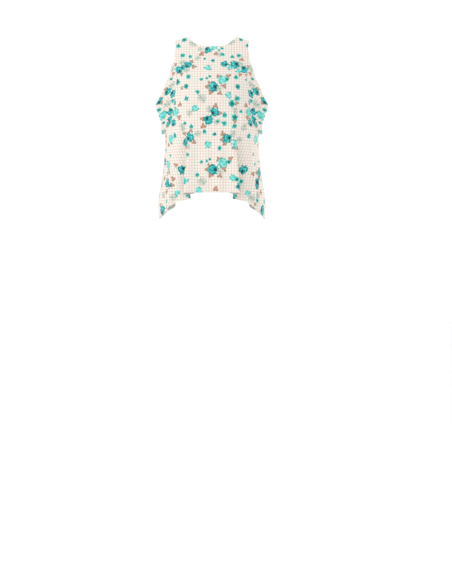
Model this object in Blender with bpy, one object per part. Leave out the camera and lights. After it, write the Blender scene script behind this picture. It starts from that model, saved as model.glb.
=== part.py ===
"""A sleeveless A-line blouse with a flounce round each armhole, as closed cloth solids.

It has the hollow form it takes when it is worn. +Z is up, the front faces -Y and the
wearer's left is +X. The origin lies midway between the two neck points, at their height,
where the shoulders carry the blouse.

A point of the body cloth is given by a share and a height. The share runs round a level
section from the centre line (0) to the side (1), and the face says front or back.
"""
from collections import namedtuple
from math import cos, pi, radians, sin

import bmesh
import bpy
import numpy as np
from mathutils import Matrix, Vector

WALL = 0.0012                # thickness of the cloth
SEAM_GAP = 0.0003            # between two pieces that are sewn together
FRONT, BACK = -1, 1          # the way along Y that each face looks

NECK_HALF_WIDTH = 0.0765     # from the centre to a neck point
NECK_SQUARENESS = 3.2        # power of the neck curve, flat in the middle
FRONT_NECK_DROP = 0.0365     # centre of the front neck edge below the neck points
BACK_NECK_DROP = 0.0200      # centre of the back neck edge below the neck points
SHOULDER_TIP = -0.0125       # height of the outer end of the shoulder seam
UNDERARM = -0.2970           # height where the armhole meets the side seam

SLIT_BOTTOM = -0.140         # the centre back seam is open above this height
SLIT_HALF_WIDTH = 0.0012     # half of the slit's opening where it is widest

BUTTON_RADIUS = 0.0048
BUTTON_THICKNESS = 0.0022
BUTTON_SHANK_RADIUS = 0.0014
BUTTON_SHANK_LENGTH = 0.0026
BUTTON_OUT = 0.0075          # button's centre from the centre back line
BUTTON_HEIGHT = -0.0290
LOOP_RADIUS = 0.0008         # of the turned tube that makes the loop
LOOP_FEET = 0.0035           # from the centre back line to the loop's sewn ends
LOOP_STEPS = 6               # points along each arm of the loop and round its bend

HALF_COLUMNS = {FRONT: 24, BACK: 15}             # grid of a half panel, centre to edge
SHOULDER_ROWS, ARMHOLE_ROWS, SIDE_ROWS = 3, 19, 12
FLOUNCE_ROWS = 5
STATIONS_A_ROW = 2           # flounce stations for each row of the armhole
BEND_PLACE = 0.31            # of a fold's half width, from its middle to its sharp bends
COLUMN_CROWD = 3.4           # how much closer the columns stand at those bends
CROWD_REACH = 0.008
EVENED_ROWS = 13             # rows from the neck down whose grid is evened out
RELAX_ROUNDS = 150
NECK_FADE = 4.0              # how soon the rows lose the neck's curve on the way down
HEM_FADE = 2.0               # and the hem's on the way up
LEAN_REACH = 0.050           # how far round the columns follow the rolled fold
LEAN_RISE = 0.040            # height below the underarm over which they start to
ARC_STEPS = 64               # samples of a quarter section

# Level sections of the body, from the neck points down to the side points.
Section = namedtuple("Section", "height half_width front_depth back_depth squareness")
SECTIONS = (
    Section(-0.5700, 0.1640, 0.1425, 0.1290, 2.40),
    Section(-0.5450, 0.1640, 0.1420, 0.1285, 2.40),
    Section(-0.5250, 0.1660, 0.1412, 0.1280, 2.40),
    Section(-0.5000, 0.1645, 0.1402, 0.1265, 2.40),
    Section(-0.4500, 0.1565, 0.1385, 0.1240, 2.40),
    Section(-0.4000, 0.1500, 0.1368, 0.1210, 2.40),
    Section(-0.3500, 0.1460, 0.1350, 0.1180, 2.50),
    Section(-0.2970, 0.1445, 0.1335, 0.1160, 2.60),
    Section(-0.2500, 0.1340, 0.1325, 0.1150, 2.70),
    Section(-0.2100, 0.1300, 0.1315, 0.1150, 2.80),
    Section(-0.1700, 0.1310, 0.1280, 0.1130, 2.80),
    Section(-0.1300, 0.1360, 0.1125, 0.1080, 2.60),
    Section(-0.0900, 0.1460, 0.0880, 0.0980, 2.40),
    Section(-0.0550, 0.1560, 0.0680, 0.0840, 2.20),
    Section(-0.0300, 0.1450, 0.0540, 0.0700, 2.05),
    Section(-0.0125, 0.1125, 0.0460, 0.0580, 2.00),
    Section(0.0000, 0.0765, 0.0400, 0.0500, 2.00),
)

# The armhole edges from the shoulder tip to the underarm, by their distance out.
Edge = namedtuple("Edge", "height out")
ARMHOLES = {
    FRONT: (
        Edge(-0.0160, 0.1122), Edge(-0.0265, 0.1118), Edge(-0.0585, 0.1140), Edge(-0.0880, 0.1160),
        Edge(-0.1150, 0.1105), Edge(-0.1420, 0.1065), Edge(-0.1750, 0.1105),
        Edge(-0.2100, 0.1150), Edge(-0.2400, 0.1180), Edge(-0.2640, 0.1225),
        Edge(-0.2790, 0.1285), Edge(-0.2890, 0.1350), Edge(-0.2945, 0.1400),
    ),
    BACK: (
        Edge(-0.0160, 0.1115), Edge(-0.0265, 0.1105), Edge(-0.0585, 0.1080), Edge(-0.0880, 0.1060),
        Edge(-0.1150, 0.1045), Edge(-0.1420, 0.1045), Edge(-0.1750, 0.1075),
        Edge(-0.2100, 0.1120), Edge(-0.2400, 0.1160), Edge(-0.2640, 0.1225),
        Edge(-0.2790, 0.1285), Edge(-0.2890, 0.1350), Edge(-0.2945, 0.1400),
    ),
}

# The hems, by the share of the way round from the centre line to the side seam.
Hem = namedtuple("Hem", "share height")
HEMS = {
    FRONT: (
        Hem(0.00, -0.4900), Hem(0.20, -0.4900), Hem(0.26, -0.4905), Hem(0.33, -0.5050),
        Hem(0.38, -0.5085), Hem(0.44, -0.5165), Hem(0.48, -0.5225), Hem(0.53, -0.5345),
        Hem(0.59, -0.5395), Hem(0.65, -0.5470), Hem(0.72, -0.5555), Hem(0.80, -0.5615),
        Hem(0.90, -0.5640), Hem(1.00, -0.5650),
    ),
    BACK: (
        Hem(0.00, -0.4740), Hem(0.20, -0.4745), Hem(0.32, -0.4800), Hem(0.44, -0.4990),
        Hem(0.52, -0.5160), Hem(0.62, -0.5340), Hem(0.72, -0.5480), Hem(0.84, -0.5590),
        Hem(0.92, -0.5630), Hem(1.00, -0.5650),
    ),
}

# Folds that hang from a height down to the hem. The depth brings the crest forward and
# the valley back, and lower down the shift rolls the crest over the valley.
Fold = namedtuple("Fold", "face out half_width top depth roll_top shift")
FOLDS = (
    Fold(FRONT, 0.0765, 0.0380, -0.240, 0.0170, -0.270, 0.0245),
    Fold(FRONT, 0.1420, 0.0260, -0.330, 0.0050, -0.360, 0.0040),
    Fold(BACK, 0.0520, 0.0330, -0.230, 0.0100, -0.290, 0.0120),
    Fold(BACK, 0.1220, 0.0300, -0.310, 0.0065, -0.340, 0.0060),
)
DEPTH_END = -0.420           # height at which a fold is fully deep
ROLL_END = -0.500            # height at which it is fully rolled

# The flounce's free edge, by the share of its seam from the front end to the back end.
# The lift is how strongly the flounce leaves along the panel before it turns outwards.
Free = namedtuple("Free", "share out depth height lift")
FREE_EDGE = (
    Free(0.000, 0.1235, -0.0540, -0.0950, 0.010),
    Free(0.074, 0.1350, -0.0610, -0.1350, 0.035),
    Free(0.148, 0.1520, -0.0640, -0.1800, 0.050),
    Free(0.185, 0.1640, -0.0620, -0.1990, 0.055),
    Free(0.222, 0.1735, -0.0580, -0.2170, 0.055),
    Free(0.259, 0.1700, -0.0590, -0.2310, 0.050),
    Free(0.297, 0.1620, -0.0600, -0.2480, 0.045),
    Free(0.370, 0.1565, -0.0560, -0.2810, 0.020),
    Free(0.443, 0.1550, -0.0340, -0.2980, 0.012),
    Free(0.517, 0.1550, 0.0000, -0.3025, 0.010),
    Free(0.592, 0.1550, 0.0340, -0.2980, 0.012),
    Free(0.665, 0.1560, 0.0540, -0.2810, 0.020),
    Free(0.739, 0.1600, 0.0600, -0.2470, 0.045),
    Free(0.776, 0.1660, 0.0580, -0.2300, 0.050),
    Free(0.814, 0.1670, 0.0580, -0.2150, 0.055),
    Free(0.851, 0.1590, 0.0600, -0.1990, 0.055),
    Free(0.925, 0.1380, 0.0640, -0.1560, 0.040),
    Free(1.000, 0.1150, 0.0680, -0.1030, 0.010),
)
FLOUNCE_TOP = -0.0850        # the seam starts at the first armhole row below this height
FLOUNCE_END = 0.020          # how strongly its free edge points outwards
RUFFLES = 6                  # waves along the free edge
RUFFLE_DEPTH = 0.0035
RUFFLE_ENDS = 0.12           # share of the seam over which the waves die out

Finish = namedtuple("Finish", "colour roughness")
CLOTH = Finish((0.72, 0.78, 0.72, 1.0), 0.80)
BUTTON = Finish((0.86, 0.84, 0.78, 1.0), 0.35)


def smooth_step(value):
    """Rises from 0 to 1 with level ends."""
    value = np.clip(value, 0.0, 1.0)
    return value * value * (3.0 - 2.0 * value)


def smooth_read(table, column, key, place):
    """Reads a table's column at a place, along a curve that never overshoots its rows."""
    rows = sorted(table, key=lambda row: getattr(row, key))
    where = np.array([getattr(row, key) for row in rows])
    value = np.array([getattr(row, column) for row in rows])
    step = np.diff(where)
    slope = np.diff(value) / step
    rise = np.concatenate(([slope[0]], np.zeros(len(slope) - 1), [slope[-1]]))
    same = slope[:-1] * slope[1:] > 0.0
    total = np.where(same, slope[:-1] + slope[1:], 1.0)
    rise[1:-1] = np.where(same, 2.0 * slope[:-1] * slope[1:] / total, 0.0)
    place = np.clip(place, where[0], where[-1])
    left = np.clip(np.searchsorted(where, place) - 1, 0, len(step) - 1)
    width = step[left]
    part = (place - where[left]) / width
    rest = 1.0 - part
    return (rest * rest * (1.0 + 2.0 * part) * value[left]
            + part * rest * rest * width * rise[left]
            + part * part * (3.0 - 2.0 * part) * value[left + 1]
            - part * part * rest * width * rise[left + 1])


def section_place(turn, height, face):
    """Where a level section lies at an angle from straight ahead: x and y."""
    read = lambda column: smooth_read(SECTIONS, column, "height", height)
    depth = read("front_depth" if face == FRONT else "back_depth")
    power = read("squareness")
    reach = (np.sin(turn) / read("half_width")) ** power + (np.cos(turn) / depth) ** power
    radius = reach ** (-1.0 / power)
    return radius * np.sin(turn), face * radius * np.cos(turn)


def quarter_section(height, face):
    """Samples level sections from the centre to the side: x, y and the length so far."""
    turn = np.linspace(0.0, pi / 2.0, ARC_STEPS + 1)
    x, y = section_place(turn, height[..., None], face)
    steps = np.hypot(np.diff(x), np.diff(y))
    length = np.concatenate((np.zeros(steps.shape[:-1] + (1,)), np.cumsum(steps, axis=-1)), axis=-1)
    return x, y, length


def plain_point(share, height, face):
    """A point of the body without its folds, and the section's length from the centre."""
    share, height = np.broadcast_arrays(np.asarray(share, float), np.asarray(height, float))
    _, _, length = quarter_section(height, face)
    whole = length[..., -1]
    target = np.clip(share, 0.0, 1.0) * whole
    left = np.clip((length < target[..., None]).sum(axis=-1) - 1, 0, ARC_STEPS - 1)[..., None]
    pick = lambda values, index: np.take_along_axis(values, index, axis=-1)[..., 0]
    low, high = pick(length, left), pick(length, left + 1)
    place = left[..., 0] + (target - low) / (high - low)
    x, y = section_place(place * pi / 2.0 / ARC_STEPS, height, face)
    return np.stack((x, y, height), axis=-1), whole


def share_at(out, height, face):
    """The share at which the body reaches a distance out, at one height."""
    x, _, length = quarter_section(np.asarray(float(height)), face)
    return float(np.interp(out, x, length) / length[-1])


def cloth_point(share, height, face):
    """A point of the body cloth with its folds, on the wearer's left half."""
    point, whole = plain_point(share, height, face)
    share = np.broadcast_to(share, height.shape) if np.ndim(height) else share
    nudge = 1e-3
    ahead, _ = plain_point(np.minimum(share + nudge, 1.0), height, face)
    behind, _ = plain_point(np.maximum(share - nudge, 0.0), height, face)
    along = ahead - behind
    along /= np.linalg.norm(along, axis=-1, keepdims=True)
    outward = np.stack((-face * along[..., 1], face * along[..., 0], np.zeros_like(whole)), axis=-1)
    for fold in FOLDS:
        if fold.face != face:
            continue
        place = np.clip((share * whole - fold.out) / fold.half_width, -1.0, 1.0)
        wave = -np.sin(pi * place) * (1.0 - place * place)
        depth = fold.depth * smooth_step((fold.top - height) / (fold.top - DEPTH_END)) * wave
        shift = fold.shift * smooth_step((fold.roll_top - height) / (fold.roll_top - ROLL_END)) * wave
        point = point + along * shift[..., None] + outward * depth[..., None]
    return point


def cloth_normal(share, height, face):
    """The outward direction of the body cloth."""
    near, small = 1e-4, 1e-5
    across = (cloth_point(np.minimum(share + near, 1.0), height, face)
              - cloth_point(np.maximum(share - near, 0.0), height, face))
    up = cloth_point(share, height + small, face) - cloth_point(share, height - small, face)
    normal = np.cross(up, across) * face
    return normal / np.linalg.norm(normal, axis=-1, keepdims=True)


def by_length(points, count):
    """Places that divide a row of points into equal lengths, as fractional indices."""
    steps = np.linalg.norm(np.diff(points, axis=0), axis=1)
    length = np.concatenate(([0.0], np.cumsum(steps)))
    return np.interp(np.linspace(0.0, length[-1], count), length, np.arange(len(points)))


def read_rows(values, places):
    """Reads the rows of an array at fractional indices."""
    index = np.arange(len(values))
    return np.stack([np.interp(places, index, values[:, k]) for k in range(values.shape[1])], axis=1)


def armhole_curve(face, count):
    """Shares and heights down an armhole, from the shoulder tip to the underarm."""
    marks = [(1.0, SHOULDER_TIP)]
    marks += [(share_at(edge.out, edge.height, face), edge.height) for edge in ARMHOLES[face]]
    marks += [(1.0, UNDERARM)]
    marks = np.array(marks)
    solid, _ = plain_point(marks[:, 0], marks[:, 1], face)
    steps = np.linalg.norm(np.diff(solid, axis=0), axis=1)
    length = np.concatenate(([0.0], np.cumsum(steps)))
    Mark = namedtuple("Mark", "length share height")
    table = [Mark(where, *mark) for where, mark in zip(length, marks)]
    places = np.linspace(0.0, length[-1], count)
    return np.stack([smooth_read(table, name, "length", places) for name in ("share", "height")], axis=1)


def side_edge(face):
    """Shares and heights down a panel's side: shoulder seam, armhole and side seam."""
    fine = 60
    shoulder = np.stack((np.ones(fine), np.linspace(0.0, SHOULDER_TIP, fine)), axis=1)
    armhole = armhole_curve(face, 6 * fine)
    seam = np.stack((np.ones(fine), np.linspace(UNDERARM, HEMS[face][-1].height, fine)), axis=1)
    rows = []
    for stretch, count in ((shoulder, SHOULDER_ROWS), (armhole, ARMHOLE_ROWS), (seam, SIDE_ROWS)):
        solid, _ = plain_point(stretch[:, 0], stretch[:, 1], face)
        rows.append(read_rows(stretch, by_length(solid, count + 1))[:-1])
    rows.append(seam[-1:])
    return np.concatenate(rows)


def main_fold(face):
    """The fold that rolls over furthest on a face."""
    return max((fold for fold in FOLDS if fold.face == face), key=lambda fold: fold.shift)


def panel_columns(face):
    """Places across a half panel, closer together where the main fold rolls over."""
    fine = np.linspace(0.0, 1.0, 400)
    fold = main_fold(face)
    _, whole = plain_point(1.0, ROLL_END, face)
    crowd = 1.0
    for bend in (fold.out - BEND_PLACE * fold.half_width, fold.out + BEND_PLACE * fold.half_width):
        crowd = crowd + COLUMN_CROWD * np.exp(-((fine * whole - bend) / CROWD_REACH) ** 2)
    total = np.concatenate(([0.0], np.cumsum((crowd[1:] + crowd[:-1]) / 2.0)))
    return np.interp(np.linspace(0.0, total[-1], HALF_COLUMNS[face] + 1), total, fine)


def neck_curve(face, across):
    """Lengths from the centre line and heights of places that divide half a neck edge."""
    out = NECK_HALF_WIDTH * np.sin(np.linspace(0.0, pi / 2.0, 100))
    drop = FRONT_NECK_DROP if face == FRONT else BACK_NECK_DROP
    height = -drop * (1.0 - (out / NECK_HALF_WIDTH) ** NECK_SQUARENESS)
    share = np.array([share_at(*place, face) for place in zip(out, height)])
    share[-1] = 1.0
    solid, whole = plain_point(share, height, face)
    steps = np.linalg.norm(np.diff(solid, axis=0), axis=1)
    part = np.concatenate(([0.0], np.cumsum(steps))) / steps.sum()
    return np.interp(across, part, share * whole), np.interp(across, part, height)


def body_miss(point, face):
    """How far points miss the plain body, as a part of its size; 0 is on it."""
    read = lambda column: smooth_read(SECTIONS, column, "height", point[..., 2])
    depth = read("front_depth" if face == FRONT else "back_depth")
    power = read("squareness")
    across = np.abs(point[..., 0]) / read("half_width")
    return (across ** power + (np.abs(point[..., 1]) / depth) ** power) ** (1.0 / power) - 1.0


def even_out(share, height, face):
    """Evens out a grid on the body with its four edges held."""
    point, _ = plain_point(share, height, face)
    small = 1e-5
    for _ in range(RELAX_ROUNDS):
        inner = (point[:-2, 1:-1] + point[2:, 1:-1] + point[1:-1, :-2] + point[1:-1, 2:]) / 4.0
        miss = body_miss(inner, face)
        slope = np.stack([(body_miss(inner + axis, face) - miss) / small
                          for axis in small * np.eye(3)], axis=-1)
        point[1:-1, 1:-1] = inner - slope * (miss / (slope * slope).sum(axis=-1))[..., None]
    inner = point[1:-1, 1:-1]
    turn = np.arctan2(inner[..., 0], face * inner[..., 1])
    _, _, length = quarter_section(inner[..., 2], face)
    place = np.clip(turn / (pi / 2.0) * ARC_STEPS, 0.0, ARC_STEPS - 1e-6)
    left = place.astype(int)[..., None]
    low = np.take_along_axis(length, left, axis=-1)[..., 0]
    high = np.take_along_axis(length, left + 1, axis=-1)[..., 0]
    share, height = share.copy(), height.copy()
    share[1:-1, 1:-1] = (low + (high - low) * (place - left[..., 0])) / length[..., -1]
    height[1:-1, 1:-1] = inner[..., 2]
    return share, height


def half_panel(face):
    """Shares and heights of a half panel's grid, rows from the neck down to the hem."""
    across = panel_columns(face)
    edge = side_edge(face)
    solid, edge_length = plain_point(edge[:, 0], edge[:, 1], face)
    edge_length = (edge_length * edge[:, 0])[:, None]
    steps = np.linalg.norm(np.diff(solid, axis=0), axis=1)
    down = (np.concatenate(([0.0], np.cumsum(steps))) / steps.sum())[:, None]
    neck_length, neck_height = neck_curve(face, across)
    hem_height = smooth_read(HEMS[face], "height", "share", across)
    centre = neck_height[0] + (hem_height[0] - neck_height[0]) * down
    pull = across * across
    neck_part, hem_part = (1.0 - down) ** NECK_FADE, down ** HEM_FADE
    neck_bow = neck_height - (neck_height[0] + (neck_height[-1] - neck_height[0]) * pull)
    hem_bow = hem_height - (hem_height[0] + (hem_height[-1] - hem_height[0]) * pull)
    height = (centre + (edge[:, 1:] - centre) * pull
              + neck_part * neck_bow + hem_part * hem_bow)
    _, whole = plain_point(1.0, height, face)
    neck_shift = neck_length - across * neck_length[-1]
    hem_shift = across * (whole[-1] - edge_length[-1])
    share = (across * edge_length + neck_part * neck_shift + hem_part * hem_shift) / whole
    fold = main_fold(face)
    _, hem_length = plain_point(1.0, ROLL_END, face)
    _, length = plain_point(share, height, face)
    home = fold.out / hem_length
    near = np.exp(-((across - home) * hem_length / LEAN_REACH) ** 2)
    below = smooth_step((UNDERARM - height) / LEAN_RISE)
    share = share + near * below * (fold.out / length - home)
    top = slice(EVENED_ROWS)
    share[top], height[top] = even_out(share[top], height[top], face)
    return share, height


def grid_wall(name, middle, normal, finish):
    """Makes a closed wall of one thickness around a grid of points."""
    rows, columns = middle.shape[:2]
    outer = middle + normal * (WALL / 2.0)
    inner = middle - normal * (WALL / 2.0)
    bm = bmesh.new()
    layers = [[[bm.verts.new(point) for point in row] for row in sheet] for sheet in (outer, inner)]
    for r in range(rows - 1):
        for c in range(columns - 1):
            falling = np.linalg.norm(middle[r, c] - middle[r + 1, c + 1])
            rising = np.linalg.norm(middle[r + 1, c] - middle[r, c + 1])
            turn = 0 if falling < rising else 1
            for layer, order in ((layers[0], 1), (layers[1], -1)):
                ring = [layer[r][c], layer[r + 1][c], layer[r + 1][c + 1], layer[r][c + 1]]
                ring = ring[turn:] + ring[:turn]
                bm.faces.new((ring[0], ring[1], ring[2])[::order])
                bm.faces.new((ring[0], ring[2], ring[3])[::order])
    rim = [(0, c) for c in range(columns - 1)]
    rim += [(r, columns - 1) for r in range(rows - 1)]
    rim += [(rows - 1, c) for c in range(columns - 1, 0, -1)]
    rim += [(r, 0) for r in range(rows - 1, 0, -1)]
    for (r0, c0), (r1, c1) in zip(rim, rim[1:] + rim[:1]):
        bm.faces.new((layers[0][r0][c0], layers[0][r1][c1], layers[1][r1][c1], layers[1][r0][c0]))
    return finished(name, bm, finish)


def finished(name, bm, finish):
    """Turns a closed mesh's faces outwards and gives it an object and a material."""
    bmesh.ops.recalc_face_normals(bm, faces=bm.faces)
    if bm.calc_volume(signed=True) < 0.0:
        bmesh.ops.reverse_faces(bm, faces=bm.faces)
    mesh = bpy.data.meshes.new(name)
    bm.to_mesh(mesh)
    bm.free()
    mesh.shade_smooth()
    mesh.set_sharp_from_angle(angle=radians(50.0))
    material = bpy.data.materials.new(name)
    material.use_nodes = True
    shader = material.node_tree.nodes["Principled BSDF"]
    shader.inputs["Base Color"].default_value = finish.colour
    shader.inputs["Roughness"].default_value = finish.roughness
    shader.inputs["Metallic"].default_value = 0.0
    mesh.materials.append(material)
    thing = bpy.data.objects.new(name, mesh)
    bpy.context.scene.collection.objects.link(thing)
    return thing


def panel_surface(face):
    """Shares, heights and section lengths of a half panel, half a seam's gap off its side."""
    share, height = half_panel(face)
    _, whole = plain_point(share, height, face)
    edge = share[:, -1:]
    share = np.minimum(share, edge - SEAM_GAP / 2.0 / whole[:, -1:])
    return share, height, whole


def mirrored(points):
    """The same points on the wearer's right half."""
    return points * np.array((-1.0, 1.0, 1.0))


def make_front():
    """The front, cut in one piece, its two halves alike."""
    share, height, _ = panel_surface(FRONT)
    left = cloth_point(share, height, FRONT)
    facing = cloth_normal(share, height, FRONT)
    middle = np.concatenate((mirrored(left)[:, :0:-1], left), axis=1)
    normal = np.concatenate((mirrored(facing)[:, :0:-1], facing), axis=1)
    return grid_wall("front", middle, normal, CLOTH)


def slit_opening(height):
    """Half the space between the two backs at a height."""
    part = np.clip((height - SLIT_BOTTOM) / (-BACK_NECK_DROP - SLIT_BOTTOM), 0.0, 1.0)
    return SEAM_GAP / 2.0 + SLIT_HALF_WIDTH * np.sin(pi * part) ** 2


def make_backs():
    """The two backs, which meet in the centre back seam and part at the slit above it."""
    share, height, whole = panel_surface(BACK)
    share = np.maximum(share, slit_opening(height) / whole)
    left = cloth_point(share, height, BACK)
    facing = cloth_normal(share, height, BACK)
    grid_wall("back_left", left, facing, CLOTH)
    grid_wall("back_right", mirrored(left), mirrored(facing), CLOTH)


def flounce_seam():
    """The seam's points down the front and up the back, with three directions at each."""
    parts = []
    for face in (FRONT, BACK):
        edge = side_edge(face)[SHOULDER_ROWS:SHOULDER_ROWS + ARMHOLE_ROWS + 1]
        edge = edge[edge[:, 1] <= FLOUNCE_TOP]
        _, whole = plain_point(edge[:, 0], edge[:, 1], face)
        share = edge[:, 0] - SEAM_GAP / 2.0 / whole
        point = cloth_point(share, edge[:, 1], face)
        normal = cloth_normal(share, edge[:, 1], face)
        parts.append(np.concatenate((point, normal), axis=1))
    underarm = (parts[0][-1:] + parts[1][-1:]) / 2.0
    path = np.concatenate((parts[0][:-1], underarm, parts[1][-2::-1]))
    point, normal = path[:, :3], path[:, 3:]
    along = np.gradient(point, axis=0)
    leaving = np.cross(normal, along)
    leaving /= np.linalg.norm(leaving, axis=1, keepdims=True)
    start = point + leaving * SEAM_GAP
    stations = np.arange((len(path) - 1) * STATIONS_A_ROW + 1) / STATIONS_A_ROW
    return [read_rows(values, stations) for values in (start, normal, leaving)]


def make_flounces():
    """The shaped flounces, each sewn round the lower part of an armhole."""
    start, normal, leaving = flounce_seam()
    steps = np.linalg.norm(np.diff(start, axis=0), axis=1)
    share = np.concatenate(([0.0], np.cumsum(steps))) / steps.sum()
    free = np.stack([smooth_read(FREE_EDGE, name, "share", share)
                     for name in ("out", "depth", "height")], axis=1)
    lift = smooth_read(FREE_EDGE, "lift", "share", share)[:, None]
    reach = free - start
    width = np.linalg.norm(reach, axis=1, keepdims=True)
    first = leaving * lift
    last = reach / width * np.minimum(FLOUNCE_END, width)
    across = np.linspace(0.0, 1.0, FLOUNCE_ROWS + 1)[:, None, None]
    rest = 1.0 - across
    middle = (rest * rest * (1.0 + 2.0 * across) * start
              + across * rest * rest * first
              + across * across * (3.0 - 2.0 * across) * free
              - across * across * rest * last)
    ends = smooth_step(share / RUFFLE_ENDS) * smooth_step((1.0 - share) / RUFFLE_ENDS)
    wave = RUFFLE_DEPTH * np.sin(2.0 * pi * RUFFLES * share) * ends
    middle = middle + grid_normals(middle) * wave[None, :, None] * smooth_step(across)
    facing = grid_normals(middle)
    facing[0] = -normal / np.linalg.norm(normal, axis=1, keepdims=True)
    grid_wall("flounce_left", middle, facing, CLOTH)
    grid_wall("flounce_right", mirrored(middle), mirrored(facing), CLOTH)


def grid_normals(middle):
    """Directions square to a grid of points."""
    normal = np.cross(np.gradient(middle, axis=0), np.gradient(middle, axis=1))
    return normal / np.linalg.norm(normal, axis=-1, keepdims=True)


def back_seat(out, height):
    """The outer face of the left back at a place: a point and its outward direction."""
    share = share_at(out, height, BACK)
    spot = np.array([height])
    point = cloth_point(np.array([share]), spot, BACK)[0]
    normal = cloth_normal(np.array([share]), spot, BACK)[0]
    return Vector(point + normal * WALL / 2.0), Vector(normal)


def make_button():
    """A shank button, seated on the left back beside the slit."""
    seat, normal = back_seat(BUTTON_OUT, BUTTON_HEIGHT)
    sides = 20
    edge = BUTTON_THICKNESS * 0.3
    head = BUTTON_SHANK_LENGTH
    profile = (
        (BUTTON_SHANK_RADIUS, 0.0),
        (BUTTON_SHANK_RADIUS, head),
        (BUTTON_RADIUS - edge, head),
        (BUTTON_RADIUS, head + edge),
        (BUTTON_RADIUS, head + BUTTON_THICKNESS - edge),
        (BUTTON_RADIUS - edge, head + BUTTON_THICKNESS),
    )
    turn = normal.to_track_quat("Z", "Y").to_matrix().to_4x4()
    place = Matrix.Translation(seat + normal * SEAM_GAP) @ turn
    bm = bmesh.new()
    rings = []
    for radius, rise in profile:
        angles = [2.0 * pi * k / sides for k in range(sides)]
        ring = [Vector((radius * cos(angle), radius * sin(angle), rise)) for angle in angles]
        rings.append([bm.verts.new(place @ point) for point in ring])
    for lower, upper in zip(rings, rings[1:]):
        for k in range(sides):
            m = (k + 1) % sides
            bm.faces.new((lower[k], lower[m], upper[m], upper[k]))
    bm.faces.new(rings[0][::-1])
    bm.faces.new(rings[-1])
    finished("back_button", bm, BUTTON)


def make_loop():
    """The turned loop, sewn to the right back, that passes round the button's shank."""
    seat, normal = back_seat(BUTTON_OUT, BUTTON_HEIGHT)
    lift = SEAM_GAP + BUTTON_SHANK_LENGTH / 2.0
    bend = BUTTON_SHANK_RADIUS + LOOP_RADIUS + SEAM_GAP
    across = Vector((1.0, 0.0, 0.0))
    across = (across - normal * across.dot(normal)).normalized()
    upward = normal.cross(across) if normal.cross(across).z > 0.0 else across.cross(normal)
    centre = seat + normal * lift
    foot_seat, foot_normal = back_seat(LOOP_FEET, BUTTON_HEIGHT)
    foot = Vector((-foot_seat.x, foot_seat.y, foot_seat.z))
    foot += Vector((-foot_normal.x, foot_normal.y, foot_normal.z)) * (LOOP_RADIUS + SEAM_GAP)
    arm = [foot.lerp(centre, step / LOOP_STEPS) for step in range(LOOP_STEPS)]
    route = [point + upward * bend for point in arm]
    for step in range(LOOP_STEPS + 1):
        angle = pi / 2.0 - pi * step / LOOP_STEPS
        route.append(centre + across * bend * cos(angle) + upward * bend * sin(angle))
    route += [point - upward * bend for point in reversed(arm)]
    curve = bpy.data.curves.new("back_loop", "CURVE")
    curve.dimensions = "3D"
    curve.bevel_depth = LOOP_RADIUS
    curve.bevel_resolution = 2
    curve.use_fill_caps = True
    spline = curve.splines.new("POLY")
    spline.points.add(len(route) - 1)
    for knot, place in zip(spline.points, route):
        knot.co = (*place, 1.0)
    thing = bpy.data.objects.new("loop_route", curve)
    bpy.context.scene.collection.objects.link(thing)
    bm = bmesh.new()
    bm.from_mesh(thing.evaluated_get(bpy.context.evaluated_depsgraph_get()).to_mesh())
    bpy.data.objects.remove(thing)
    finished("back_loop", bm, CLOTH)


def main():
    for thing in list(bpy.data.objects):
        bpy.data.objects.remove(thing)
    make_front()
    make_backs()
    make_flounces()
    make_button()
    make_loop()


main()
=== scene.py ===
from collections import namedtuple
from math import cos, pi, radians, sin

import bpy
import numpy as np
from mathutils import Matrix, Vector


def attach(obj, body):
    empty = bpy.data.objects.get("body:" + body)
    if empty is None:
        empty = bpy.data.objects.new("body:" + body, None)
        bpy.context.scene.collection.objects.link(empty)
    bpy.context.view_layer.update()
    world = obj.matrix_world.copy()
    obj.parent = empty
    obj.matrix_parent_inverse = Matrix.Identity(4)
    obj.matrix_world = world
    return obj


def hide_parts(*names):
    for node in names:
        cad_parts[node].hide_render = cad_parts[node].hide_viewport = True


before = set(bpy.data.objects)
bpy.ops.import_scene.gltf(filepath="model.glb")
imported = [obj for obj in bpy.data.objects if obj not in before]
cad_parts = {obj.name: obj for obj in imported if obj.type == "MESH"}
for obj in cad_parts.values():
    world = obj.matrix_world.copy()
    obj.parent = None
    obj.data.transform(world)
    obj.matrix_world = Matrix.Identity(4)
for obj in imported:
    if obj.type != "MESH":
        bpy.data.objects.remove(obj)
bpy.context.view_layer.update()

# The view of the photograph: a long lens, level, its middle well below the blouse and a little
# to one side of it. PIXEL is a picture element's size at the neck points.
PIXEL = 0.0031
PICTURE_HEIGHT = 584
CAMERA_PLACE = Vector((0.0434, -5.5, -0.7905))
SENSOR_HEIGHT = 36.0

camera_data = bpy.data.cameras.new("camera")
camera_data.sensor_fit = "VERTICAL"
camera_data.sensor_height = SENSOR_HEIGHT
camera_data.lens = SENSOR_HEIGHT * -CAMERA_PLACE.y / (PIXEL * PICTURE_HEIGHT)
camera = bpy.data.objects.new("camera", camera_data)
camera.location = CAMERA_PLACE
camera.rotation_euler = (pi / 2.0, 0.0, 0.0)
bpy.context.scene.collection.objects.link(camera)
bpy.context.scene.camera = camera

# The studio: a wide pale floor far below the blouse, an even white surround and three large
# soft lights, two in front and one behind, so that no side of the cloth lies in the dark.
FLOOR_HEIGHT = -1.6
FLOOR_RADIUS = 40.0
FLOOR_COLOUR = (0.97, 0.97, 0.97, 1.0)
SURROUND = (1.0, 1.0, 1.0, 1.0)
SURROUND_STRENGTH = 1.04
Lamp = namedtuple("Lamp", "name place size power")
LAMPS = (
    Lamp("key_light", (-3.0, -2.2, 1.4), 1.0, 32.0),
    Lamp("fill_light", (2.4, -2.6, 0.2), 2.4, 3.0),
    Lamp("back_light", (2.6, 2.6, 1.4), 1.2, 30.0),
)
LAMP_AIM = Vector((0.0, 0.0, -0.28))


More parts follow.
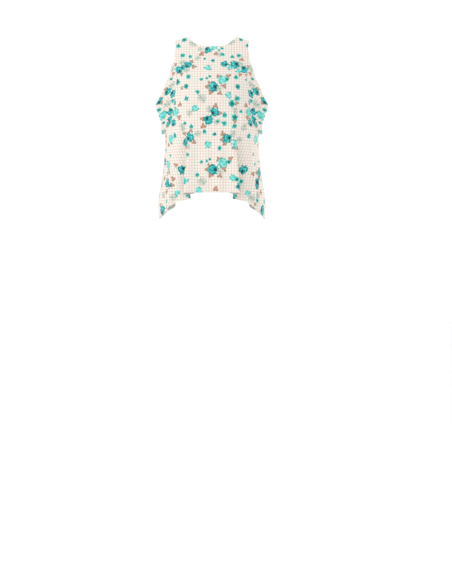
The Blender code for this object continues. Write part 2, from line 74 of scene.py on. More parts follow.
def painted(name, roughness):
    """A new material and its shader."""
    material = bpy.data.materials.new(name)
    material.use_nodes = True
    shader = material.node_tree.nodes["Principled BSDF"]
    shader.inputs["Roughness"].default_value = roughness
    return material, shader


bpy.ops.object.select_all(action="DESELECT")
bpy.ops.mesh.primitive_circle_add(vertices=96, radius=FLOOR_RADIUS, fill_type="NGON",
                                  location=(0.0, 0.0, FLOOR_HEIGHT))
floor = bpy.context.object
floor.name = "floor"
floor_paint, floor_shader = painted("floor_paint", 0.9)
floor_shader.inputs["Base Color"].default_value = FLOOR_COLOUR
floor.data.materials.append(floor_paint)

world = bpy.data.worlds.new("surround")
world.use_nodes = True
world.node_tree.nodes["Background"].inputs["Color"].default_value = SURROUND
world.node_tree.nodes["Background"].inputs["Strength"].default_value = SURROUND_STRENGTH
bpy.context.scene.world = world
bpy.context.scene.view_settings.view_transform = "Standard"
for lamp in LAMPS:
    light = bpy.data.lights.new(lamp.name, "AREA")
    light.size = lamp.size
    light.energy = lamp.power
    holder = bpy.data.objects.new(lamp.name, light)
    holder.location = lamp.place
    holder.rotation_euler = (LAMP_AIM - Vector(lamp.place)).to_track_quat("-Z", "Y").to_euler()
    bpy.context.scene.collection.objects.link(holder)

# The printed cloth: a light crepe, cream with a thin peach and green check, overprinted with
# teal roses, buds, brown leaves and sprigs. Its wrong side shows the same print, muted, and is
# darkened all over by a painted shade.
ROSE, PALE_ROSE, BUD, DARK_BUD, LEAVES, SPRIG = 1, 2, 3, 4, 5, 6
PRINT_LAYERS = {"print_roses": (ROSE, DARK_BUD), "print_buds": (PALE_ROSE, BUD),
                "print_leaves": (LEAVES, SPRIG)}
SPREADS = {ROSE: 1.36, PALE_ROSE: 1.40, BUD: 1.55, DARK_BUD: 1.40, LEAVES: 1.38, SPRIG: 1.35}
CHECK_PITCH = 0.0086
CHECK_LINE = 0.15            # half of a line's width, as a part of the pitch
THREADS = 5200.0             # turns of the weave's waves to a metre, in radians

# Where each motif lies on the hanging front, in millimetres from the middle of the neck, as
# seen from in front: across to the wearer's left, and height. Then its radius and turn.
Motif = namedtuple("Motif", "kind across height size turn")
CHART = [Motif(*row) for row in (
    (ROSE, 3, -153, 13, 170), (PALE_ROSE, 33, -133, 13, 20),
    (ROSE, 9, -233, 12, 10), (ROSE, -10, -257, 12, 320),
    (ROSE, 46, -315, 12, 200), (PALE_ROSE, 68, -332, 12, 250),
    (ROSE, -66, -311, 12, 30), (ROSE, -84, -327, 11, 160),
    (ROSE, -74, -87, 11, 40), (ROSE, -103, -102, 12, 100),
    (ROSE, 39, -84, 10, 150), (ROSE, 70, -86, 13, 200),
    (ROSE, 101, -101, 12, 300), (ROSE, -12, -40, 10, 320),
    (PALE_ROSE, 6, -32, 9, 30),
    (ROSE, 103, -412, 12, 60), (ROSE, 139, -455, 15, 210),
    (ROSE, 150, -386, 11, 100), (ROSE, 156, -537, 14, 0),
    (ROSE, -145, -386, 11, 300), (ROSE, -136, -454, 15, 130),
    (ROSE, -154, -537, 14, 80), (ROSE, -102, -412, 12, 220),
    (PALE_ROSE, -127, -317, 12, 70), (PALE_ROSE, 136, -317, 12, 160),
    (PALE_ROSE, -113, -233, 12, 0), (PALE_ROSE, 115, -233, 12, 200),
    (PALE_ROSE, -52, -221, 9, 120), (BUD, -33, -130, 5, 200),
    (PALE_ROSE, -12, -334, 9, 300), (PALE_ROSE, 52, -180, 9, 80),
    (BUD, -91, -58, 7, 0), (BUD, -67, -61, 6, 40), (DARK_BUD, 3, -73, 5, 0),
    (PALE_ROSE, -13, -95, 9, 90), (BUD, -73, -124, 7, 10), (DARK_BUD, -80, -153, 7, 30),
    (DARK_BUD, 80, -154, 7, 10), (BUD, -44, -171, 6, 70), (BUD, 78, -192, 8, 20),
    (DARK_BUD, 62, -207, 9, 60), (BUD, -79, -192, 7, 0), (BUD, 39, -243, 7, 0),
    (BUD, 39, -268, 7, 50), (DARK_BUD, 71, -249, 8, 80), (BUD, -63, -279, 6, 0),
    (BUD, -23, -294, 6, 30), (DARK_BUD, 8, -301, 5, 10), (BUD, 69, -277, 7, 0),
    (BUD, 24, -345, 6, 60), (BUD, -67, -366, 7, 0),
    (BUD, 77, -377, 8, 90), (BUD, 84, -58, 7, 10), (BUD, 63, -62, 6, 0),
    (DARK_BUD, 111, -27, 6, 0), (DARK_BUD, 90, -8, 6, 0), (DARK_BUD, -86, -9, 7, 20),
    (BUD, -104, -29, 7, 0), (BUD, 74, -126, 7, 0), (DARK_BUD, 122, -173, 8, 80),
    (BUD, 125, -199, 7, 0), (DARK_BUD, -108, -139, 9, 50), (BUD, 127, -365, 5, 0),
    (BUD, 101, -449, 7, 0), (DARK_BUD, -72, -448, 9, 0), (PALE_ROSE, -40, -476, 9, 100),
    (PALE_ROSE, -61, -446, 8, 40), (ROSE, -117, -202, 9, 30), (ROSE, 118, -202, 9, 60),
    (BUD, -71, -404, 6, 0), (BUD, -16, -128, 4, 0), (BUD, 107, -133, 5, 0),
    (LEAVES, -15, -154, 6, 180), (LEAVES, -8, -142, 6, 130), (LEAVES, 20, -122, 6, 110),
    (LEAVES, 50, -121, 7, 30), (LEAVES, 38, -151, 7, 290), (LEAVES, -4, -171, 7, 240),
    (LEAVES, 24, -174, 6, 320), (LEAVES, 11, -214, 7, 80), (LEAVES, 24, -236, 6, 350),
    (LEAVES, -30, -254, 6, 170), (LEAVES, -27, -276, 7, 220), (LEAVES, 34, -300, 7, 110),
    (LEAVES, -53, -326, 6, 330), (LEAVES, -84, -345, 6, 260), (LEAVES, 76, -205, 6, 0),
    (LEAVES, 70, -261, 6, 270), (LEAVES, -56, -92, 7, 0), (LEAVES, -63, -76, 6, 60),
    (LEAVES, -94, -115, 6, 270), (LEAVES, -32, -53, 7, 210), (LEAVES, -101, -250, 7, 280),
    (LEAVES, -100, -209, 6, 90), (LEAVES, 55, -98, 6, 240), (LEAVES, 87, -116, 6, 250),
    (LEAVES, 114, -93, 6, 20), (LEAVES, -94, -158, 5, 200), (LEAVES, 84, -345, 6, 330),
    (LEAVES, 110, -250, 7, 270), (LEAVES, -112, -398, 6, 130), (LEAVES, 122, -425, 6, 300),
    (LEAVES, -120, -460, 6, 0), (LEAVES, 132, -442, 6, 120), (LEAVES, 12, -52, 6, 320),
    (SPRIG, 22, -160, 9, 320), (SPRIG, 62, -300, 9, 60), (SPRIG, -31, -190, 11, 330),
    (SPRIG, -91, -79, 9, 30), (SPRIG, -79, -104, 9, 10), (SPRIG, -58, -21, 10, 340),
    (SPRIG, -36, -38, 7, 20), (SPRIG, -8, -224, 8, 120), (SPRIG, 16, -262, 8, 40),
    (SPRIG, -122, -118, 10, 60), (SPRIG, 86, -84, 9, 30), (SPRIG, -70, -340, 9, 0),
    (SPRIG, 24, -54, 8, 0), (SPRIG, 60, -16, 9, 60), (SPRIG, 100, -280, 9, 90),
    (SPRIG, -44, -300, 8, 30), (SPRIG, -92, -280, 9, 120), (SPRIG, 88, -318, 8, 200),
    (ROSE, -119, -266, 10, 80), (ROSE, 119, -266, 10, 90), (ROSE, -80, -499, 11, 20),
    (ROSE, 82, -499, 11, 190), (LEAVES, -69, -506, 6, 0), (LEAVES, 70, -508, 6, 180),
    (LEAVES, -86, -300, 6, 160), (LEAVES, 60, -344, 6, 200), (LEAVES, 38, -331, 6, 230),
    (LEAVES, -63, -291, 6, 80), (LEAVES, 31, -318, 6, 180), (LEAVES, -134, -334, 6, 200),
    (LEAVES, 142, -335, 6, 330), (SPRIG, -150, -416, 9, 60), (SPRIG, 152, -416, 9, 120),
    (SPRIG, -118, -497, 9, 20), (SPRIG, 120, -500, 9, 160), (BUD, -142, -510, 6, 0),
    (BUD, 143, -508, 6, 0), (BUD, -128, -368, 5, 0), (PALE_ROSE, -110, -483, 8, 30),
    (PALE_ROSE, 111, -483, 8, 10), (DARK_BUD, 58, -442, 6, 20), (SPRIG, -44, -66, 7, 40),
    (LEAVES, -88, -425, 6, 80), (LEAVES, 92, -400, 6, 20), (LEAVES, -118, -440, 6, 0),
    (DARK_BUD, -7, -122, 4, 0), (DARK_BUD, 17, -262, 4, 0), (DARK_BUD, 47, -131, 5, 0),
    (BUD, 33, -55, 6, 0), (DARK_BUD, 22, -41, 3, 0), (LEAVES, -20, -47, 5, 180),
    (LEAVES, 108, -118, 6, 300), (LEAVES, -113, -85, 6, 150), (LEAVES, 92, -70, 6, 80),
    (SPRIG, 118, -118, 10, 120), (LEAVES, 106, -212, 6, 90), (SPRIG, -70, -236, 8, 60),
    (SPRIG, 72, -228, 8, 90), (BUD, -84, -268, 5, 0), (BUD, 90, -232, 5, 0),
    (BUD, -23, -68, 4, 0), (BUD, 31, -36, 5, 0), (ROSE, -89, -94, 8, 20),
    (PALE_ROSE, 56, -94, 8, 240), (PALE_ROSE, 82, -105, 8, 0),
    (BUD, -115, -307, 7, 0), (BUD, 115, -307, 7, 90),
)]
BAND_LOW, BAND_HIGH, BAND_OUT = -216, -110, 66   # the motifs that show again one repeat lower
PRINT_REPEAT = 257
CHART += [motif._replace(height=motif.height - PRINT_REPEAT) for motif in CHART
          if BAND_LOW < motif.height < BAND_HIGH and abs(motif.across) < BAND_OUT]


def srgb(red, green, blue):
    """A colour in the nodes' linear values, from values of 0 to 255 as on a screen."""
    parts = [value / 255.0 for value in (red, green, blue)]
    return tuple(part / 12.92 if part <= 0.04045 else ((part + 0.055) / 1.055) ** 2.4
                 for part in parts) + (1.0,)


GROUND = srgb(234, 230, 224)
PEACH_LINE = srgb(218, 186, 170)
GREEN_LINE = srgb(192, 205, 186)
ROSE_BODY, ROSE_LIGHT = srgb(28, 158, 156), srgb(84, 206, 202)
ROSE_DEEP, ROSE_CORE = srgb(6, 98, 98), srgb(6, 40, 60)
PALE_BODY, PALE_LIGHT, PALE_DEEP = srgb(84, 198, 188), srgb(150, 224, 212), srgb(22, 140, 134)
BUD_BODY, BUD_CORE = srgb(64, 190, 178), srgb(10, 124, 118)
LEAF_BODY, LEAF_VEIN = srgb(180, 144, 122), srgb(128, 90, 72)
SPRIG_STEM, SPRIG_DOT = srgb(104, 176, 152), srgb(22, 118, 106)


class Wire:
    """A socket in a material's nodes, on which sums are written as on a number."""

    def __init__(self, tree, socket=None):
        self.tree = tree
        self.socket = socket

    def add(self, kind, settings=None, sockets=None, output=0):
        """A new node of a kind: its settings are made first, then its sockets are filled."""
        node = self.tree.nodes.new(kind)
        for name, value in (settings or {}).items():
            setattr(node, name, value)
        for name, value in (sockets or {}).items():
            if isinstance(value, Wire):
                self.tree.links.new(value.socket, node.inputs[name])
            else:
                node.inputs[name].default_value = value
        return Wire(self.tree, node.outputs[output])

    def sum_of(self, operation, *values):
        return self.add("ShaderNodeMath", {"operation": operation}, dict(enumerate(values)))

    def mixed(self, first, second):
        """From the first colour, where this wire is 0, to the second, where it is 1."""
        return self.add("ShaderNodeMix", {"data_type": "RGBA"}, {0: self, 6: first, 7: second}, 2)

    def step(self, low, high):
        """Rises smoothly from 0 at the low value to 1 at the high one."""
        return self.add("ShaderNodeMapRange", {"interpolation_type": "SMOOTHSTEP"},
                        {"Value": self, "From Min": low, "From Max": high})

    def below(self, low, high):
        """Falls smoothly from 1 at the low value to 0 at the high one."""
        return 1.0 - self.step(low, high)

    def zigzag(self):
        """Rises from 0 to 0.5 and falls back within each 1 of this wire."""
        return self.sum_of("PINGPONG", self, 0.5)

    def __add__(self, other):
        return self.sum_of("ADD", self, other)

    def __sub__(self, other):
        return self.sum_of("SUBTRACT", self, other)

    def __mul__(self, other):
        return self.sum_of("MULTIPLY", self, other)

    def __truediv__(self, other):
        return self.sum_of("DIVIDE", self, other)

    def __radd__(self, other):
        return self.sum_of("ADD", other, self)

    def __rsub__(self, other):
        return self.sum_of("SUBTRACT", other, self)

    def abs(self):
        return self.sum_of("ABSOLUTE", self, 0.0)

    def root(self):
        return self.sum_of("SQRT", self, 0.0)

    def sin(self):
        return self.sum_of("SINE", self, 0.0)

    def cos(self):
        return self.sum_of("COSINE", self, 0.0)

    def noise(self, scale, detail=1.0):
        """Soft random values about 0, this wire being the place."""
        return self.add("ShaderNodeTexNoise", {"noise_dimensions": "2D"},
                        {"Vector": self, "Scale": scale, "Detail": detail}) - 0.5

    def most(self, other):
        return self.sum_of("MAXIMUM", self, other)

    def is_kind(self, number):
        return self.sum_of("COMPARE", self, float(number), 0.25)


def parts_of(wire):
    """The three values of a vector's wire."""
    return [wire.add("ShaderNodeSeparateXYZ", None, {0: wire}, k) for k in range(3)]


def motif_places(blank, layer):
    """Where a point lies within its nearest motif: x, y, distance, angle and the motif's kind."""
    place = blank.add("ShaderNodeAttribute", {"attribute_name": layer}, None, 1)
    x, y, kind = parts_of(place)
    return x, y, (x * x + y * y).root(), y.sum_of("ARCTAN2", y, x), kind


def printed(blank, cut, ground):
    """The check's colour with the leaves, buds and roses printed over it, layer by layer."""
    blotch, daub = cut.noise(150.0), cut.noise(380.0)
    x, y, distance, angle, kind = motif_places(blank, "print_leaves")
    edge = 0.50 + (angle * 1.5).cos().abs() * 0.46 + blotch * 0.7
    leaf = kind.is_kind(LEAVES) * (distance - edge).below(-0.10, 0.05)
    vein = leaf * ((angle * 1.5).sin().abs() + daub).below(0.05, 0.26) * distance.step(0.1, 0.3)
    colour = leaf.mixed(ground, LEAF_BODY)
    colour = (vein * 0.75).mixed(colour, LEAF_VEIN)
    on_sprig = kind.is_kind(SPRIG) * (distance + blotch).below(0.85, 0.95)
    stem = (y - (x * 2.2).sin() * 0.18).abs().below(0.03, 0.09)
    twig = (y.abs() - x.abs() * 0.6).abs().below(0.03, 0.08)
    colour = (on_sprig * stem.most(twig) * 0.8).mixed(colour, SPRIG_STEM)
    row, file = (x * 2.9 + y * 0.7).zigzag() - 0.25, (y * 2.9 - x * 0.7).zigzag() - 0.25
    dots = (row * row + file * file).root().below(0.11, 0.18)
    colour = (on_sprig * dots * 0.9).mixed(colour, SPRIG_DOT)

    x, y, distance, angle, kind = motif_places(blank, "print_buds")
    edge = 0.84 + (angle * 5.0 + y * 3.0).sin() * 0.08 + blotch * 0.8
    pale = kind.is_kind(PALE_ROSE) * (distance - edge).below(-0.10, 0.04)
    swirl = (distance * 7.5 + angle * 2.0 + blotch * 6.0).sin().step(-0.5, 0.9)
    inside = swirl.mixed(PALE_BODY, PALE_LIGHT)
    rim = (distance + (angle * 3.0).sin() * 0.2 + daub).step(0.62, 0.95)
    inside = (rim * 0.8).mixed(inside, PALE_DEEP)
    colour = pale.mixed(colour, inside)
    bud = kind.is_kind(BUD) * (distance - edge + x.abs() * 0.15).below(-0.12, 0.06)
    inside = (distance + daub * 1.5).step(0.20, 0.60).mixed(BUD_CORE, BUD_BODY)
    inside = ((y + daub * 1.2).step(0.10, 0.55) * 0.8).mixed(inside, PALE_LIGHT)
    colour = bud.mixed(colour, inside)

    x, y, distance, angle, kind = motif_places(blank, "print_roses")
    edge = 0.88 + (angle * 6.0 + x * 3.0).sin() * 0.06 + blotch * 0.8
    shape = (distance - edge).below(-0.08, 0.03)
    rose = kind.is_kind(ROSE) * shape
    turns = (distance * 8.5 - angle * 2.0 + blotch * 7.0).sin()
    light = turns.step(-0.2, 0.8) * ((x - 0.25) * (x - 0.25) + y * y).root().below(0.30, 0.85)
    inside = light.mixed(ROSE_BODY, ROSE_LIGHT)
    gaps = (0.0 - turns).step(0.0, 0.9) * (distance + daub).step(0.30, 0.80)
    inside = (gaps * 0.8).mixed(inside, ROSE_DEEP)
    core = (((x + 0.36) * (x + 0.36) + y * y).root() + daub * 0.8).below(0.18, 0.34)
    inside = core.mixed(inside, ROSE_CORE)
    colour = rose.mixed(colour, inside)
    dark = kind.is_kind(DARK_BUD) * shape
    inside = (distance + daub * 1.5).step(0.20, 0.75).mixed(ROSE_DEEP, BUD_BODY)
    return dark.mixed(colour, inside)


def check_line(length):
    """1 on the middle of each line of the check, 0 between lines."""
    return (length / CHECK_PITCH).zigzag().below(CHECK_LINE * 0.4, CHECK_LINE * 1.4)


def make_cloth(name, muted, painted_shade_lightness):
    """The printed crepe; muted is how much of the print the ground hides on the wrong side, and the
    last argument darkens all of it as a painted shade.
    """
    material, shader = painted(name, 0.8)
    tree = material.node_tree
    blank = Wire(tree)
    cut = blank.add("ShaderNodeUVMap", {"uv_map": "cut"})
    across, down, _ = parts_of(cut)
    grain, drift = cut.noise(900.0, 2.0), cut.noise(14.0)
    ground = (drift * 0.4 + grain * 0.5).abs().mixed(GROUND, GREEN_LINE)
    pairs = (across / (4.0 * CHECK_PITCH)).zigzag()
    tint = pairs.step(0.15, 0.35).mixed(PEACH_LINE, GREEN_LINE)
    ground = (check_line(across) * 0.85).mixed(ground, tint)
    ground = (check_line(down) * 0.75).mixed(ground, PEACH_LINE)
    colour = printed(blank, cut, ground)
    if muted:
        colour = cut.add("ShaderNodeMix", {"data_type": "RGBA"}, {0: muted, 6: colour, 7: ground}, 2)
    # A painted shade: the whole colour is darkened to this lightness, for the wrong side.
    if painted_shade_lightness < 1.0:
        shade = (painted_shade_lightness, painted_shade_lightness, painted_shade_lightness, 1.0)
        colour = cut.add("ShaderNodeMix", {"data_type": "RGBA", "blend_type": "MULTIPLY"},
                         {0: 1.0, 6: colour, 7: shade}, 2)
    tree.links.new(colour.socket, shader.inputs["Base Color"])
    rough = 0.78 + grain * 0.20
    tree.links.new(rough.socket, shader.inputs["Roughness"])
    threads = (across * THREADS).sin() * 0.5 + (down * THREADS).sin() * 0.5
    relief = cut.noise(420.0, 3.0) + threads * 0.12
    bump = cut.add("ShaderNodeBump", None, {"Strength": 0.35, "Distance": 0.0004, "Height": relief})
    tree.links.new(bump.socket, shader.inputs["Normal"])
    shader.inputs["Specular IOR Level"].default_value = 0.25
    shader.inputs["Sheen Weight"].default_value = 0.15
    shader.inputs["Sheen Roughness"].default_value = 0.5
    return material


right_side = make_cloth("cloth_right_side", 0.0, 1.0)
# The wrong side: its print muted, and the whole colour darkened as a painted shade.
shaded_wrong_side = make_cloth("cloth_wrong_side_shaded", 0.30, 0.86)

# The front is one panel with a wide round neck, short shoulders and a flared lower half, which
# hangs from the bust in one deep rolled fold each side of the middle. Its free edges are
# turned in narrow hems. The body's level sections are those of the solids.
FRONT, BACK = -1, 1          # the way along Y that each face looks
SEAM_GAP = 0.0003
NECK_HALF_WIDTH = 0.0765
NECK_SQUARENESS = 3.2
NECK_DROPS = {FRONT: 0.0365, BACK: 0.0200}
SHOULDER_TIP = -0.0125
UNDERARM = -0.2970
HALF_COLUMNS = {FRONT: 24, BACK: 15}
SHOULDER_ROWS, ARMHOLE_ROWS, SIDE_ROWS = 3, 19, 12
BEND_PLACE = 0.31
COLUMN_CROWD = 3.4
CROWD_REACH = 0.008
EVENED_ROWS = 13
RELAX_ROUNDS = 150
NECK_FADE, HEM_FADE = 4.0, 2.0
LEAN_REACH, LEAN_RISE = 0.050, 0.040
ARC_STEPS = 64
FINE_COLUMNS = {FRONT: 92, BACK: 78}             # points across a half panel
FINE_ROWS = 190                                  # and down it
CLOTH_THICKNESS = 0.0006
HEM_WIDTH = 0.0060           # of the narrow turned hems
HEM_THICKNESS = 0.0013
HEM_EDGE = 0.0008            # over which the cloth rises to the hem's thickness
DITCH_WIDTH, DITCH_DEPTH = 0.0013, 0.0004        # where a seam pulls the cloth in
EDGE_SIDES = (0.90, 1.10)    # parts of such a width at which the grid gets one more line

# The body's level sections, from the side points up to the neck points.
Sections = namedtuple("Sections", "height half_width front_depth back_depth squareness")
SECTIONS = Sections(*np.array((
    (-0.5700, 0.1640, 0.1425, 0.1290, 2.40), (-0.5450, 0.1640, 0.1420, 0.1285, 2.40),
    (-0.5250, 0.1660, 0.1412, 0.1280, 2.40), (-0.5000, 0.1645, 0.1402, 0.1265, 2.40),
    (-0.4500, 0.1565, 0.1385, 0.1240, 2.40), (-0.4000, 0.1500, 0.1368, 0.1210, 2.40),
    (-0.3500, 0.1460, 0.1350, 0.1180, 2.50), (-0.2970, 0.1445, 0.1335, 0.1160, 2.60),
    (-0.2500, 0.1340, 0.1325, 0.1150, 2.70), (-0.2100, 0.1300, 0.1315, 0.1150, 2.80),
    (-0.1700, 0.1310, 0.1280, 0.1130, 2.80), (-0.1300, 0.1360, 0.1125, 0.1080, 2.60),
    (-0.0900, 0.1460, 0.0880, 0.0980, 2.40), (-0.0550, 0.1560, 0.0680, 0.0840, 2.20),
    (-0.0300, 0.1450, 0.0540, 0.0700, 2.05), (-0.0125, 0.1125, 0.0460, 0.0580, 2.00),
    (0.0000, 0.0765, 0.0400, 0.0500, 2.00),
)).T)
# The armhole edges from shoulder tip to underarm: height, and distance out.
ARMHOLES = {
    FRONT: (
        (-0.0160, 0.1122), (-0.0265, 0.1118), (-0.0585, 0.1140), (-0.0880, 0.1160),
        (-0.1150, 0.1105), (-0.1420, 0.1065), (-0.1750, 0.1105),
        (-0.2100, 0.1150), (-0.2400, 0.1180), (-0.2640, 0.1225),
        (-0.2790, 0.1285), (-0.2890, 0.1350), (-0.2945, 0.1400),
    ),
    BACK: (
        (-0.0160, 0.1115), (-0.0265, 0.1105), (-0.0585, 0.1080), (-0.0880, 0.1060),
        (-0.1150, 0.1045), (-0.1420, 0.1045), (-0.1750, 0.1075),
        (-0.2100, 0.1120), (-0.2400, 0.1160), (-0.2640, 0.1225),
        (-0.2790, 0.1285), (-0.2890, 0.1350), (-0.2945, 0.1400),
    ),
}
# The hems: the share of the way round from the centre line to the side seam, and height.
HEMS = {
    FRONT: np.array((
        (0.00, -0.4900), (0.20, -0.4900), (0.26, -0.4905), (0.33, -0.5050),
        (0.38, -0.5085), (0.44, -0.5165), (0.48, -0.5225), (0.53, -0.5345),
        (0.59, -0.5395), (0.65, -0.5470), (0.72, -0.5555), (0.80, -0.5615),
        (0.90, -0.5640), (1.00, -0.5650),
    )),
    BACK: np.array((
        (0.00, -0.4740), (0.20, -0.4745), (0.32, -0.4800), (0.44, -0.4990),
        (0.52, -0.5160), (0.62, -0.5340), (0.72, -0.5480), (0.84, -0.5590),
        (0.92, -0.5630), (1.00, -0.5650),
    )),
}
# The folds hang from a height down to the hem, each deeper and rolled further on its way.
Fold = namedtuple("Fold", "face out half_width top depth roll_top shift")
FOLDS = (
    Fold(FRONT, 0.0765, 0.0380, -0.240, 0.0170, -0.270, 0.0245),
    Fold(FRONT, 0.1420, 0.0260, -0.330, 0.0050, -0.360, 0.0040),
    Fold(BACK, 0.0520, 0.0330, -0.230, 0.0100, -0.290, 0.0120),
    Fold(BACK, 0.1220, 0.0300, -0.310, 0.0065, -0.340, 0.0060),
)
DEPTH_END, ROLL_END = -0.420, -0.500             # heights at which they are fully so

# Soft creases, each a ridge (or a trough, where its rise is negative) from one place on the
# cloth to another, by the signed length from the centre line and the height.
Crease = namedtuple("Crease", "face out height end_out end_height bow half_width rise")
TO_HEM = -0.470              # a crease that ends below this height runs on to the hem
CREASE_RISE, CREASE_FALL, HEM_CREASE_RISE = 0.35, 0.30, 0.45     # parts over which it fades
CREASES = [Crease(*row) for row in (
    (FRONT, -0.104, -0.120, -0.082, -0.290, 0.006, 0.0085, -0.0034),
    (FRONT, 0.106, -0.128, 0.080, -0.275, -0.005, 0.0095, -0.0030),
    (FRONT, -0.094, -0.170, -0.100, -0.330, -0.004, 0.0105, 0.0028),
    (FRONT, 0.092, -0.160, 0.104, -0.315, 0.004, 0.0110, 0.0025),
    (FRONT, -0.128, -0.262, -0.094, -0.205, 0.003, 0.0065, -0.0021),
    (FRONT, 0.126, -0.258, 0.098, -0.196, -0.003, 0.0070, -0.0020),
    (FRONT, -0.018, -0.300, -0.024, -0.500, 0.003, 0.0130, 0.0025),
    (FRONT, 0.026, -0.275, 0.021, -0.500, -0.003, 0.0145, 0.0028),
    (FRONT, 0.002, -0.340, 0.000, -0.500, 0.002, 0.0100, -0.0019),
    (FRONT, -0.047, -0.320, -0.043, -0.500, 0.002, 0.0105, -0.0020),
    (FRONT, 0.048, -0.350, 0.044, -0.500, -0.002, 0.0100, -0.0018),
    (FRONT, -0.168, -0.330, -0.190, -0.560, 0.004, 0.0140, 0.0038),
    (FRONT, 0.172, -0.350, 0.187, -0.560, -0.003, 0.0135, 0.0034),
    (FRONT, -0.060, -0.030, -0.085, -0.075, 0.002, 0.0075, -0.0014),
    (FRONT, 0.064, -0.034, 0.083, -0.082, -0.002, 0.0080, -0.0012),
    (FRONT, -0.052, -0.105, -0.036, -0.235, -0.004, 0.0120, -0.0013),
    (FRONT, 0.046, -0.120, 0.058, -0.215, 0.003, 0.0115, -0.0011),
    (BACK, -0.078, -0.090, -0.062, -0.260, 0.005, 0.0110, -0.0028),
    (BACK, 0.082, -0.105, 0.060, -0.250, -0.005, 0.0105, -0.0031),
    (BACK, -0.118, -0.250, -0.086, -0.190, 0.003, 0.0070, -0.0021),
    (BACK, 0.120, -0.255, 0.090, -0.200, -0.003, 0.0070, -0.0019),
    (BACK, -0.022, -0.250, -0.027, -0.480, 0.003, 0.0110, 0.0024),
    (BACK, 0.026, -0.290, 0.024, -0.480, -0.002, 0.0105, 0.0021),
    (BACK, -0.098, -0.320, -0.104, -0.530, 0.004, 0.0120, -0.0034),
    (BACK, 0.100, -0.340, 0.102, -0.530, -0.004, 0.0115, -0.0030),
    (BACK, -0.176, -0.360, -0.186, -0.560, 0.003, 0.0130, 0.0033),
    (BACK, 0.172, -0.330, 0.190, -0.560, -0.004, 0.0140, 0.0037),
)]


def smooth_step(value):
    """Rises from 0 to 1 with level ends."""
    value = np.clip(value, 0.0, 1.0)
    return value * value * (3.0 - 2.0 * value)


def smooth_curve(where, value, place):
    """Reads values at a place, along a curve that never overshoots them."""
    step = np.diff(where)
    spread = (slice(None),) + (None,) * (value.ndim - 1)
    slope = np.diff(value, axis=0) / step[spread]
    same = slope[:-1] * slope[1:] > 0.0
    total = np.where(same, slope[:-1] + slope[1:], 1.0)
    inner = np.where(same, 2.0 * slope[:-1] * slope[1:] / total, 0.0)
    rise = np.concatenate((slope[:1], inner, slope[-1:]))
    place = np.clip(place, where[0], where[-1])
    left = np.clip(np.searchsorted(where, place) - 1, 0, len(step) - 1)
    width = step[left]
    part = (place - where[left]) / width
    if value.ndim > 1:
        width, part = width[spread], part[spread]
    rest = 1.0 - part
    return (rest * rest * (1.0 + 2.0 * part) * value[left] + part * rest * rest * width * rise[left]
            + part * part * (3.0 - 2.0 * part) * value[left + 1]
            - part * part * rest * width * rise[left + 1])


def section_at(height, face):
    """A level section's half width, its depth on a face and its squareness."""
    depths = SECTIONS.front_depth if face == FRONT else SECTIONS.back_depth
    return [smooth_curve(SECTIONS.height, values, height)
            for values in (SECTIONS.half_width, depths, SECTIONS.squareness)]


def section_place(turn, height, face):
    """Where a level section lies at an angle from straight ahead: x and y."""
    half_width, depth, power = section_at(height, face)
    reach = (np.sin(turn) / half_width) ** power + (np.cos(turn) / depth) ** power
    radius = reach ** (-1.0 / power)
    return radius * np.sin(turn), face * radius * np.cos(turn)


def quarter_section(height, face):
    """Samples level sections from the centre to the side: x, y and the length so far."""
    turn = np.linspace(0.0, pi / 2.0, ARC_STEPS + 1)
    x, y = section_place(turn, height[..., None], face)
    steps = np.hypot(np.diff(x), np.diff(y))
    length = np.concatenate((np.zeros(steps.shape[:-1] + (1,)), np.cumsum(steps, axis=-1)), axis=-1)
    return x, y, length


def plain_point(share, height, face):
    """A point of the body without its folds, and the section's length from the centre."""
    share, height = np.broadcast_arrays(np.asarray(share, float), np.asarray(height, float))
    _, _, length = quarter_section(height, face)
    whole = length[..., -1]
    target = np.clip(share, 0.0, 1.0) * whole
    left = np.clip((length < target[..., None]).sum(axis=-1) - 1, 0, ARC_STEPS - 1)[..., None]
    pick = lambda values, index: np.take_along_axis(values, index, axis=-1)[..., 0]
    low, high = pick(length, left), pick(length, left + 1)
    place = left[..., 0] + (target - low) / (high - low)
    x, y = section_place(place * pi / 2.0 / ARC_STEPS, height, face)
    return np.stack((x, y, height), axis=-1), whole


def share_at(out, height, face):
    """The share at which the body reaches a distance out, at one height."""
    x, _, length = quarter_section(np.asarray(float(height)), face)
    return float(np.interp(out, x, length) / length[-1])


def unit(vectors):
    """The same directions at a length of 1."""
    return vectors / np.linalg.norm(vectors, axis=-1, keepdims=True)


def cloth_point(share, height, face):
    """A point of the body cloth with its folds, on the wearer's left half."""
    point, whole = plain_point(share, height, face)
    share = np.broadcast_to(share, height.shape)
    nudge = 1e-3
    ahead, _ = plain_point(np.minimum(share + nudge, 1.0), height, face)
    behind, _ = plain_point(np.maximum(share - nudge, 0.0), height, face)
    along = unit(ahead - behind)
    outward = np.stack((-face * along[..., 1], face * along[..., 0], np.zeros_like(whole)), axis=-1)
    for fold in FOLDS:
        if fold.face != face:
            continue
        place = np.clip((share * whole - fold.out) / fold.half_width, -1.0, 1.0)
        wave = -np.sin(pi * place) * (1.0 - place * place)
        depth = fold.depth * smooth_step((fold.top - height) / (fold.top - DEPTH_END)) * wave
        shift = fold.shift * smooth_step((fold.roll_top - height) / (fold.roll_top - ROLL_END)) * wave
        point = point + along * shift[..., None] + outward * depth[..., None]
    return point


def lengths_along(points):
    """The length so far along a row of points, or down each column of a grid of points."""
    steps = np.linalg.norm(np.diff(points, axis=0), axis=-1)
    return np.concatenate((np.zeros((1,) + steps.shape[1:]), np.cumsum(steps, axis=0)))


def lengths_across(middle):
    """The length so far across each row of a grid of points."""
    return lengths_along(middle.transpose(1, 0, 2)).T


